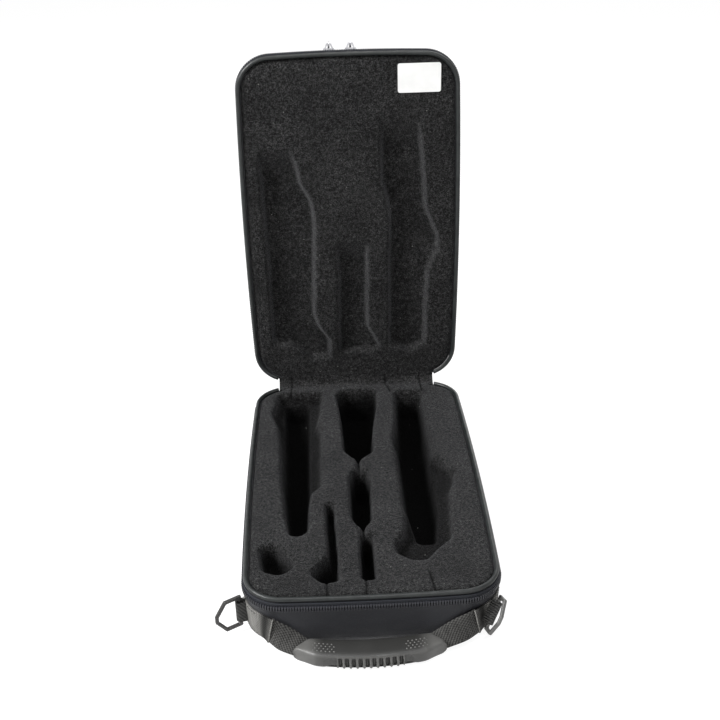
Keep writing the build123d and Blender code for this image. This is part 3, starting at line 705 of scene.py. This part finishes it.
def sheet_mesh(vertices, shades, used):
    """A bmesh of the grid's cells whose four corners are used, with each vertex's shade."""
    keep = used[:-1, :-1] & used[1:, :-1] & used[:-1, 1:] & used[1:, 1:]
    index = np.arange(used.size).reshape(used.shape)
    mesh = bmesh.new()
    shade_layer = mesh.verts.layers.float.new("shade")
    made = {}
    for i, j in np.argwhere(keep):
        corners = []
        for k in (index[i, j], index[i + 1, j], index[i + 1, j + 1], index[i, j + 1]):
            if k not in made:
                made[k] = mesh.verts.new(vertices[k])
                made[k][shade_layer] = shades[k]
            corners.append(made[k])
        mesh.faces.new(corners)
    bmesh.ops.remove_doubles(mesh, verts=mesh.verts, dist=0.25 * MM)
    bmesh.ops.dissolve_degenerate(mesh, edges=mesh.edges, dist=0.05 * MM)
    return mesh


def close_behind(mesh, half):
    """Closes the plush with a rolled edge, sides and a back."""
    middle = half.place(np.zeros(1), np.full(1, case_length / 2), np.zeros(1))[0]
    loop = [edge for edge in mesh.edges if edge.is_boundary]
    for drop, pull in ((2.0 * MM, 0.0), (3.0 * MM, 0.05), (half.insert_depth - 9 * MM, 0.01)):
        loop, added = extrude_loop(mesh, loop)
        for vertex in added:
            flat = vertex.co - Vector(middle)
            flat -= half.inward * flat.dot(half.inward)
            vertex.co += half.inward * drop - flat * pull
    bmesh.ops.edgeloop_fill(mesh, edges=loop)


def plush_insert(half, seams, fades, lip, wall, gloom):
    """Padded insert with the node's pockets, a rolled border and sewn seams, as one closed piece.

    Lip and wall soften the pockets' upper and lower parts, and gloom is the deepest shade.
    """
    node_name = f"{half.name}_insert"
    half_width = case_width / 2 + side_bow
    xs = np.arange(-half_width, half_width + plush_cell, plush_cell)
    ts = np.arange(0.0, case_length + front_bow + plush_cell, plush_cell)
    grid_x, grid_t = np.meshgrid(xs, ts, indexing="ij")
    recess = pocket_recess(half, nodes[node_name], xs, ts, fades, lip, wall)
    # Painted shade: the pile darkens with its depth in the pockets, up to gloom, where the pockets' shade
    # falls.
    shade = gloom * (1 - np.exp(-((np.maximum(recess - shade_start, 0) / shade_depth) ** 1.3)))
    sheet, shade = sew_seams(insert_drop + recess, shade, grid_x, grid_t, seams)

    inside, outward = distance_inside(grid_x, grid_t)
    roll = np.clip(1 - np.maximum(inside, 0) / roll_width, 0, 0.999)
    sheet += roll_drop * (1 - np.sqrt(1 - roll**2))
    for i, j in np.argwhere(inside > -2 * plush_cell):
        place = (xs[i] * ripple_scale, ts[j] * ripple_scale, half.noise_row)
        sheet[i, j] += ripple_height * noise.noise(place)
    past_edge = np.minimum(inside, 0)
    place_x = grid_x + outward[..., 0] * past_edge
    place_t = grid_t + outward[..., 1] * past_edge
    vertices = half.place(place_x.ravel(), place_t.ravel(), sheet.ravel())
    mesh = sheet_mesh(vertices, shade.ravel(), inside > -1.45 * plush_cell)
    close_behind(mesh, half)
    piece = soft_object(f"{half.name}_plush", mesh, "plush")
    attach(piece, half.name)
    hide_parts(node_name)


# Rim trims: piping, zip tape, coil and stitching

piping_radius = 2.0 * MM
piping_end_x = 81.5 * MM
tape_thickness = 0.9 * MM
tape_top = 4.4 * MM
tape_bottom = 12.8 * MM
tape_end_x = 83.0 * MM
stitch_depth = 5.6 * MM
coil_pitch = 2.2 * MM
coil_end_x = 87.0 * MM
coil_seat = 0.85 * MM
coil_height = 1.6 * MM
coil_top = 7.0 * MM
coil_bottom = 12.2 * MM
tooth_half_width = 0.86 * MM
tooth_slant = 0.35 * MM


def trims(half):
    circle = [
        (piping_radius - piping_radius * cos(angle), piping_radius - piping_radius * sin(angle))
        for angle in np.linspace(0, 2 * pi, 14, endpoint=False)
    ]
    path = rim_path(3.0 * MM, piping_end_x)
    piping = rim_sweep(f"{half.name}_piping_cord", half, path, circle, "piping")
    path = rim_path(3.0 * MM, tape_end_x)
    strip = soft_strip(tape_thickness, tape_top, tape_bottom)
    tape = wall_sweep(f"{half.name}_tape", half, path, strip, "zip_tape")
    for piece, slot in ((piping, "piping"), (tape, "zip_tape"), (coil(half), "zip_teeth")):
        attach(piece, half.name)
        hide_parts(f"{half.name}_{slot}")
    stitches = stitch_row(f"{half.name}_zip_stitches", half, path, tape_thickness, stitch_depth)
    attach(stitches, half.name)


def wall_point(half, path, i, along, depth, proud):
    """A point on the wall, some way along it from the path's point i."""
    points, normals = path
    tangent = points[i + 1] - points[i - 1]
    point = points[i] + tangent * along / np.linalg.norm(tangent)
    return half.wall(point[None], normals[i][None], depth, proud)[0]


def coil(half):
    """Zip coil: one rounded loop per step of the path, laid across the tape."""
    path = rim_path(coil_pitch, coil_end_x)
    vertices, faces = [], []
    middle = (coil_top + coil_bottom) / 2
    reach = (coil_bottom - coil_top) / 2
    profile = [(-1.0, 0.0), (-0.92, 0.62), (-0.5, 1.0), (0.5, 1.0), (0.92, 0.62), (1.0, 0.0)]
    for i in range(1, len(path[0]) - 1):
        first = len(vertices)
        for side in (-1, 1):
            for across, up in profile:
                along = side * tooth_half_width * (1.0 if up < 0.9 else 0.7)
                depth = middle + across * reach + side * tooth_slant
                depth = min(max(depth, coil_top), coil_bottom)
                vertices.append(wall_point(half, path, i, along, depth, coil_seat + up * coil_height))
        faces += tube_faces(first, 2, len(profile))
    return new_object(f"{half.name}_coil", vertices, faces, "zip_teeth", smooth=False)


def stitch_row(name, half, path, proud, depth, length=2.0 * MM, width=0.32 * MM):
    """Row of thread stitches along a wall, each a small raised bar."""
    vertices, faces = [], []
    for i in range(1, len(path[0]) - 1):
        first = len(vertices)
        for along, scale in ((-1.0, 0.3), (-0.7, 1.0), (0.7, 1.0), (1.0, 0.3)):
            for offset, up in ((-1, 0.0), (0, 1.0), (1, 0.0)):
                low = depth + offset * width * scale
                height = proud - 0.1 * MM + up * width * scale
                vertices.append(wall_point(half, path, i, along * length / 2, low, height))
        faces += tube_faces(first, 4, 3)
    return new_object(name, vertices, faces, "thread")


# Webbing

strap_low = 6.0 * MM
strap_high = 31.0 * MM
fold_x = 79.5 * MM
strap_back_y = -126.0 * MM
corner_turn_t = 250.0 * MM
lift_length = 16.0 * MM
lift_height = 3.6 * MM
fold_slant = 5.0 * MM
# Painted shade before the corner webbing's fold: where it is darkest, and how far it reaches.
hollow_shade_place = 6.5 * MM
hollow_shade_reach = 10.0 * MM
corner_thickness = 1.5 * MM
fold_radius = 1.7 * MM
handle_thickness = 1.7 * MM
handle_width = 24.2
handle_width_at_grip = 17.0
selvedge = 0.25 * MM
grip_centre_x = -4.0 * MM


def side_name(side):
    return "left" if side < 0 else "right"


def corner_path(side):
    """Rim points and normals round a front corner, from the case's side to the fold."""
    points, normals = rim_path(1.6 * MM)
    on_corner = (case_length / 2 - points[:, 1] < strap_back_y) & (points[:, 0] * side > fold_x - 1.0 * MM)
    points, normals = points[on_corner], normals[on_corner]
    order = np.argsort(side * np.arctan2(points[:, 1] - corner_turn_t, points[:, 0]))
    return points[order], normals[order]


def corner_ring(points, normals, run, at, free):
    """One section of the corner webbing: down its outer face, then up its inner one."""
    shares = np.linspace(0, 1, 11)
    ring = []
    for outer in (True, False):
        for share in shares if outer else shares[::-1]:
            place = max(at - fold_slant * share * free, 0)
            spot = np.array([[np.interp(place, run, points[:, k]) for k in (0, 1)]])
            facing = np.array([[np.interp(place, run, normals[:, k]) for k in (0, 1)]])
            proud = lift_height * free**3 + 0.5 * MM * sin(pi * share) * free + 0.25 * MM
            if outer:
                proud += 1.45 * MM - 0.35 * MM * (share in (0.0, 1.0))
            depth = base_height - strap_high + (strap_high - strap_low) * share
            ring.append(base_half.wall(spot, facing, depth, proud)[0])
    return ring


def corner_webbing(side):
    """Webbing round a front corner: sewn along the side, and free where it folds back for the handle."""
    points, normals = corner_path(side)
    run = distances(points)
    left = run[-1] - run
    rings, shades = [], []
    for i in range(len(points)):
        free = np.clip(1 - left[i] / lift_length, 0, 1)
        rings.append(corner_ring(points, normals, run, run[i], free))
        # Painted shade: darkest a little before the fold, where the webbing turns away from the light.
        hollow_shade = np.clip(1 - abs(left[i] - hollow_shade_place) / hollow_shade_reach, 0, 1)
        shades.append(0.97 * (hollow_shade * (2 - hollow_shade) if left[i] < hollow_shade_place else eased(hollow_shade)))
    tangent = np.mean(rings[-1], axis=0) - np.mean(rings[-3], axis=0)
    tangent[2] = 0
    tangent /= np.linalg.norm(tangent)
    outward = np.array([normals[-1][0], -normals[-1][1], 0.0])
    outer = np.array(rings[-1])[:11]
    inner_radius = fold_radius - corner_thickness
    for step in range(1, 9):
        angle = pi * step / 8
        swing = tangent * (fold_radius * sin(angle)) - outward * (fold_radius * (1 - cos(angle)))
        inner_swing = tangent * (inner_radius * sin(angle))
        inner_swing = inner_swing - outward * (corner_thickness + inner_radius * (1 - cos(angle)))
        rings.append([p + swing for p in outer] + [p + inner_swing for p in outer[::-1]])
        # Painted shade on the inner half of the fold.
        shades.append(0.0 if step < 5 else 0.6)
    depths = np.linspace(base_height - strap_high, base_height - strap_low, 11)
    name = f"corner_webbing_{side_name(side)}"
    piece = loft(name, rings, "corner_webbing", np.concatenate([depths, depths[::-1]]), shades, 60)
    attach(piece, "base")
    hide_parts(f"corner_strap_{side_name(side)}")

    sewn = left > 14 * MM
    path = points[sewn][::2], normals[sewn][::2]
    for level, depth in (("upper", depths[0] + 2.2 * MM), ("lower", depths[-1] - 2.2 * MM)):
        name = f"corner_stitches_{side_name(side)}_{level}"
        row = stitch_row(name, base_half, path, 1.75 * MM, depth, 2.2 * MM, 0.3 * MM)
        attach(row, "base")
    return np.mean(np.array(rings[-1]), axis=0)


def ribbon(name, centres, sides, normals, widths, material):
    """Woven ribbon along centres, with rounded selvedges and one width for each centre."""
    across = np.array([-0.5, -0.47, -0.42, -0.25, 0.0, 0.25, 0.42, 0.47, 0.5])
    rise = np.array([0.2, 0.8, 1.0, 0.9, 0.95, 0.9, 1.0, 0.8, 0.2])
    half = handle_thickness / 2
    rings = []
    for centre, side, normal, width in zip(centres, sides, normals, widths):
        side = side / np.linalg.norm(side)
        normal = normal - side * normal.dot(side)
        normal /= np.linalg.norm(normal)
        high = half * rise + selvedge * (rise == 1.0)
        upper = [centre + side * a * width + normal * r for a, r in zip(across, high)]
        lower = [centre + side * a * width - normal * half * r for a, r in zip(across[::-1], rise[::-1])]
        rings.append(upper + lower)
    return loft(name, rings, material, np.concatenate([across, across[::-1]]) * max(widths), crisp=60)


def handle_ribbon(side, start):
    """Webbing from a fold to the grip, twisting and bending on the way."""
    outer_end = np.array([grip_centre_x + side * 61 * MM, -183.5 * MM, 4.1 * MM])
    inner_end = np.array([grip_centre_x + side * 49 * MM, -173.8 * MM, 12.0 * MM])
    end_side = (inner_end - outer_end) / np.linalg.norm(inner_end - outer_end)
    end = (outer_end + inner_end) / 2
    begin = np.array([start[0] - side * 0.6 * MM, start[1] - 0.4 * MM, (strap_low + strap_high) / 2])
    middle = (begin + end) / 2 + np.array([side * 2.0, -1.6, 1.2]) * MM
    into = end + (end - middle) / np.linalg.norm(end - middle) * 4.5 * MM
    centres, sides, normals, widths = [], [], [], []
    for s in np.linspace(0, 1, 27):
        point = (1 - s) ** 2 * begin + 2 * s * (1 - s) * middle + s * s * into
        along = 2 * (1 - s) * (middle - begin) + 2 * s * (into - middle)
        turn = eased(s)
        across = np.array([-side * 0.19, 0.02, 1.0]) * (1 - turn) + end_side * turn
        normal = np.cross(across, along) * side
        if normal[1] > 0:
            normal = -normal
        centres.append(point + 0.35 * MM * sin(9 * s) * np.array([0, -1, 0.4]))
        sides.append(across)
        normals.append(normal)
        widths.append((handle_width * (1 - turn) + handle_width_at_grip * turn) * MM)
    name = f"handle_webbing_{side_name(side)}"
    piece = ribbon(name, centres, sides, normals, widths, "handle_webbing")
    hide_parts(f"handle_strap_{side_name(side)}")
    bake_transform(piece)


# Grip, in millimetres until its vertices are handed over

grip_reach = 61.0
grip_low = 0.6
grip_high = 13.4
grip_end_round = 4.5
grip_step = 0.45
grip_points = 44
rib_pitch = 5.3
ribs_reach = 26.5
recess_reach = 38.0
recess_depth = 2.6
rib_rise = 3.9
dot_place = 28.5
dot_pitch = 3.3
dot_row_pitch = 2.7
dot_z = 13.35
dot_levels = ((0.82, 0.5), (0.45, 0.85), (-0.3, 1.0))
dot_sides = 10


def grip_outline(x):
    """Front and rear y of the grip at x from its centre."""
    far = abs(x)
    front = -200.0 + 5.0 * (far / 44.0) ** 2 if far < 44 else -195.0 + (far - 44.0) / 17.0 * 11.5
    rear = -179.5 + 5.9 * (far / 49.0) ** 2 if far < 49 else -173.6 - (far - 49.0) / 12.0 * 9.9
    return front, rear


def rounded_outline(xs):
    """The outline's front and rear with their corners rounded, and the rear fuller in the middle."""
    front, rear = [blurred_line(line, 4.0, 9) for line in np.array([grip_outline(x) for x in xs]).T]
    return front, rear + 1.9 * np.clip(1.4 - np.abs(xs) / 40, 0, 1)


def grip_ring(x, y_front, y_rear):
    """One section of the grip and its painted shades: a squared oval with a ribbed recess in front."""
    far = abs(x)
    end = np.clip((far - (grip_reach - grip_end_round)) / grip_end_round, 0, 1)
    taper = np.clip((far - 44) / 17, 0, 1)
    middle_z = (grip_low + grip_high) / 2 - 1.4 * taper
    half_z = (grip_high - grip_low) / 2 * sqrt(max(1 - end * end, 0.02)) * (1 - 0.12 * taper)
    middle_y = (y_front + y_rear) / 2
    half_y = max((y_rear - y_front) / 2, 1.4)
    middle_share = eased((52.0 - far) / 16.0)
    scoop = eased((recess_reach - far) / 8.0)
    rib = eased(0.5 - 0.5 * cos(2 * pi * (x / rib_pitch + 0.5)))
    ring, shades = [], []
    for k in range(grip_points):
        angle = 2 * pi * k / grip_points
        c, s = cos(angle), sin(angle)
        power = 0.42 if c < 0.3 else 0.42 - 0.16 * (c - 0.3) / 0.7
        y = middle_y + half_y * np.sign(c) * abs(c) ** power
        z = middle_z + half_z * np.sign(s) * abs(s) ** power
        # Painted shade: the top's middle darkened while the ends keep the lighter tone, where the light
        # falls on them; less shade on the front, least on the rib tops.
        shade = 0.85 * middle_share
        front_share = np.clip((-c - 0.55) / 0.25, 0, 1)
        if front_share > 0:
            in_recess = scoop * np.clip((1.6 + 3.0 * scoop - (z - middle_z)) / 1.4, 0, 1)
            shift = recess_depth * in_recess
            if far < ribs_reach:
                shift += in_recess * (0.6 - rib_rise * rib)
                shade *= 1 - rib * in_recess
            y += shift * front_share
            shade *= 1 - 0.45 * front_share
        if s > 0.55:
            z += 0.5 * (1 - c * c) * (s - 0.55) / 0.45
        ring.append(((x + grip_centre_x / MM) * MM, y * MM, z * MM))
        shades.append(shade)
    return ring, shades


def make_grip():
    """Moulded grip: crowned top, ribs standing in a recess across its front, rounded ends."""
    xs = np.arange(-grip_reach + 0.35, grip_reach, grip_step)
    rings, shades = zip(*[grip_ring(*station) for station in zip(xs, *rounded_outline(xs))])
    piece = loft("grip_body", rings, "grip_rubber", shades=shades, crisp=50)
    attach(piece, "handle")
    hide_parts("grip", "grip_web")


def make_grip_dots():
    """Patches of small raised dots on top of the grip, either side of its middle."""
    vertices, faces = [], []
    for side in (-1, 1):
        for row in range(4):
            for column in range(6):
                x = side * (dot_place + column * dot_pitch + (row % 2) * dot_pitch / 2)
                y_front, y_rear = grip_outline(x)
                y = y_front + 5.2 + row * dot_row_pitch + (y_rear - y_front - 15.5) * 0.1
                if y < y_rear - 3.4 and abs(x) < 47:
                    add_dot(vertices, faces, x + grip_centre_x / MM, y, dot_z - 0.35 * max(abs(x) - 44, 0))
    dots = new_object("grip_dots", np.array(vertices) * MM, faces, "grip_rubber")
    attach(dots, "handle")


def add_dot(vertices, faces, x, y, z):
    """Adds one domed dot: a top point over three rings of vertices, closed below."""
    first = len(vertices)
    vertices.append((x, y, z + 1.0))
    for height, radius in dot_levels:
        for k in range(dot_sides):
            angle = 2 * pi * k / dot_sides
            vertices.append((x + radius * cos(angle), y + radius * sin(angle), z + height))
    faces += [(first, first + 1 + k, first + 1 + (k + 1) % dot_sides) for k in range(dot_sides)]
    faces += tube_faces(first + 1, len(dot_levels), dot_sides, start_cap=False)


# Fabric hinge


def hinge_sheet(name, profile, thickness, half_width, material, step, wave, seams=()):
    """Sheet of fabric with a (y, z) profile, drawn across the hinge."""
    tangents = np.gradient(profile, axis=0)
    tangents /= np.linalg.norm(tangents, axis=1)[:, None]
    outward = np.stack([tangents[:, 1], -tangents[:, 0]], axis=1)
    rings, shades = [], []
    for x in np.linspace(-half_width, half_width, round(2 * half_width / step) + 1):
        # Painted shade along the seams, as on the base's plush.
        shades.append(max([0.75 * exp(-(((x - seam) / (1.0 * MM)) ** 2)) for seam in seams], default=0.0))
        ripple = wave * noise.noise((x * 60, 0.3, thickness * 900))
        end = np.clip((half_width - abs(x)) / (0.8 * MM), 0.35, 1)
        inner = profile + outward * (ripple + thickness * (0.5 - 0.5 * end))
        outer = profile + outward * (ripple + thickness * (0.5 + 0.5 * end))
        rings.append([(x, y, z) for y, z in inner] + [(x, y, z) for y, z in outer[::-1]])
    run = distances(profile)
    return loft(name, rings, material, np.concatenate([run, run[::-1]]), shades)


def make_hinge():
    centre = np.array([164.8, 57.0]) * MM
    angles = np.radians(np.linspace(-97, 7, 27))
    arc = np.array([centre + 8.4 * MM * np.array([cos(a), sin(a)]) for a in angles])
    seams = [x * MM for x, _ in back_seams]
    lining = hinge_sheet("hinge_plush", arc, 2.2 * MM, lining_half_width, "plush", 0.8 * MM, 0.5 * MM, seams)
    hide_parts("hinge_lining")
    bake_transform(lining)

    on_base = [(168.55, 28.0), (169.2, 42.0), (171.2, 47.6)]
    on_lid = [(176.0, 52.2), (181.0, 54.3), (193.6, 57.5)]
    corners = np.array(on_base + on_lid) * MM
    run = distances(corners)
    even = np.linspace(0, run[-1], 34)
    line = np.stack([np.interp(even, run, corners[:, k]) for k in (0, 1)], axis=1)
    for _ in range(6):
        line[1:-1] = (line[:-2] + 2 * line[1:-1] + line[2:]) / 4
    strip = hinge_sheet("hinge_cloth", line, 1.1 * MM, hinge_half_width, "nylon_shell", 3.0 * MM, 0.25 * MM)
    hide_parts("hinge_strip")
    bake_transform(strip)


# Document pocket on the lid

panel_step = 2.0 * MM
panel_edge = 0.12
panel_fill = 0.72
panel_belly = 0.2


def make_lid_pocket():
    """Soft pocket on the lid's outer face: a padded panel with a rounded edge, fuller in the middle."""
    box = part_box("lid_pocket")
    low, high = Vector(box[0]), Vector(box[1])
    tree = tree_of(nodes["lid_pocket"])
    xs = np.arange(low.x - panel_step, high.x + 1.5 * panel_step, panel_step)
    zs = np.arange(low.z - panel_step, high.z + 1.5 * panel_step, panel_step)
    found = np.zeros((len(xs), len(zs)), dtype=bool)
    for i, x in enumerate(xs):
        for j, z in enumerate(zs):
            found[i, j] = tree.ray_cast(Vector((x, high.y + 0.05, z)), Vector((0, -1, 0)))[0] is not None
    fill = np.clip((blurred(found.astype(float), 2.2) - 0.5) * 2, 0, 1)
    shape = 1 - (1 - fill) ** 3
    back = low.y + 0.4 * MM
    full = high.y - low.y
    vertices = np.zeros((*found.shape, 3))
    for i, j in np.argwhere(found):
        x, z = xs[i], zs[j]
        u = (x - low.x) / (high.x - low.x)
        v = (z - low.z) / (high.z - low.z)
        belly = panel_fill + panel_belly * sin(pi * u) * sin(pi * v)
        crease = 0.045 * noise.noise((x * 16, z * 16, 4.2)) + 0.02 * noise.noise((x * 55, z * 30, 8.8))
        y = back + full * (panel_edge + shape[i, j] * (belly - panel_edge + crease))
        vertices[i, j] = (x, y, z)
    mesh = sheet_mesh(vertices.reshape(-1, 3), np.zeros(found.size), found)
    loop, added = extrude_loop(mesh, [edge for edge in mesh.edges if edge.is_boundary])
    for vertex in added:
        vertex.co.y = back - 0.2 * MM
    bmesh.ops.edgeloop_fill(mesh, edges=loop)
    for _ in range(6):
        bmesh.ops.smooth_vert(mesh, verts=mesh.verts, factor=0.5, use_axis_x=True, use_axis_z=True)
    piece = soft_object("pocket_panel", mesh, "nylon_shell")
    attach(piece, "lid")
    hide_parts("lid_pocket")


# Small trims


def tape_end():
    """Pale end of the zip tape, tucked inside the lid's lower right corner."""
    points, normals = rim_path(1.2 * MM)
    on = (points[:, 0] > 84 * MM) & (points[:, 1] < 22 * MM)
    section = [(3.9 * MM, 0.5 * MM), (4.8 * MM, 0.9 * MM), (4.9 * MM, 1.5 * MM), (3.9 * MM, 1.3 * MM)]
    piece = rim_sweep("zip_tape_end", lid_half, (points[on], normals[on]), section, "tape_end")
    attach(piece, "lid")


# Stage and light


def seen_or_mirrored(tree):
    """1 for rays from the camera and for glossy ones, and 0 for the rest."""
    rays = add_node(tree, "LightPath").outputs
    return add_math(tree, "MAXIMUM", rays["Is Camera Ray"], rays["Is Glossy Ray"])


def make_floor():
    """Pale floor: white to the camera and in reflections, with the object's own soft shadow."""
    size = 4.0
    floor = bpy.data.objects.new("floor", bpy.data.meshes.new("floor"))
    corners = [(-size, -size, 0), (size, -size, 0), (size, size, 0), (-size, size, 0)]
    floor.data.from_pydata(corners, [], [(0, 1, 2, 3)])
    material = bpy.data.materials.new("floor")
    material.use_nodes = True
    tree = material.node_tree
    tree.nodes.clear()
    matte = add_node(tree, "BsdfDiffuse", Color=grey(0.8))
    bright = add_node(tree, "Emission", Strength=1.27)
    mix = add_node(tree, "MixShader", Fac=add_math(tree, "MULTIPLY", seen_or_mirrored(tree), 0.72))
    set_input(tree, mix.inputs[1], matte.outputs[0])
    set_input(tree, mix.inputs[2], bright.outputs[0])
    add_node(tree, "OutputMaterial", Surface=mix.outputs[0])
    floor.data.materials.append(material)
    collection.objects.link(floor)


def make_world():
    """White surroundings that light the object less than they show."""
    world = bpy.data.worlds.new("studio")
    scene.world = world
    world.use_nodes = True
    tree = world.node_tree
    strength = add_node(tree, "MapRange", Value=seen_or_mirrored(tree))
    strength.inputs["To Min"].default_value = 0.22
    background = tree.nodes["Background"]
    set_input(tree, background.inputs["Strength"], strength.outputs["Result"])
    set_input(tree, background.inputs["Color"], grey(1.0))


def area_light(name, place, target, size, power):
    data = bpy.data.lights.new(name, "AREA")
    data.shape = "DISK"
    data.size = size
    data.energy = power
    light = bpy.data.objects.new(name, data)
    light.location = place
    direction = Vector(target) - Vector(place)
    light.rotation_euler = direction.to_track_quat("-Z", "Y").to_euler()
    collection.objects.link(light)


def make_lights():
    area_light("key", (-1.35, -0.35, 1.25), (0, 0.02, 0.1), 0.45, 52)
    area_light("fill", (0.7, -1.6, 0.8), (0, 0, 0.1), 1.0, 6)
    area_light("top", (0.1, -0.35, 1.9), (0, 0, 0.1), 0.6, 13)
    area_light("back", (0.5, 1.6, 0.9), (0, 0.1, 0.2), 1.0, 9)


# Build

make_camera()
dress_cad_nodes()
plush_insert(base_half, base_seams, fades=(), lip=2.4 * MM, wall=1.2 * MM, gloom=0.96)
plush_insert(lid_half, (), fades=lid_fades, lip=1.6 * MM, wall=1.3 * MM, gloom=0.12)
trims(base_half)
trims(lid_half)
for corner in (-1, 1):
    handle_ribbon(corner, corner_webbing(corner))
make_grip()
make_grip_dots()
make_hinge()
make_lid_pocket()
tape_end()
make_floor()
make_world()
make_lights()
scene.view_settings.view_transform = "Standard"
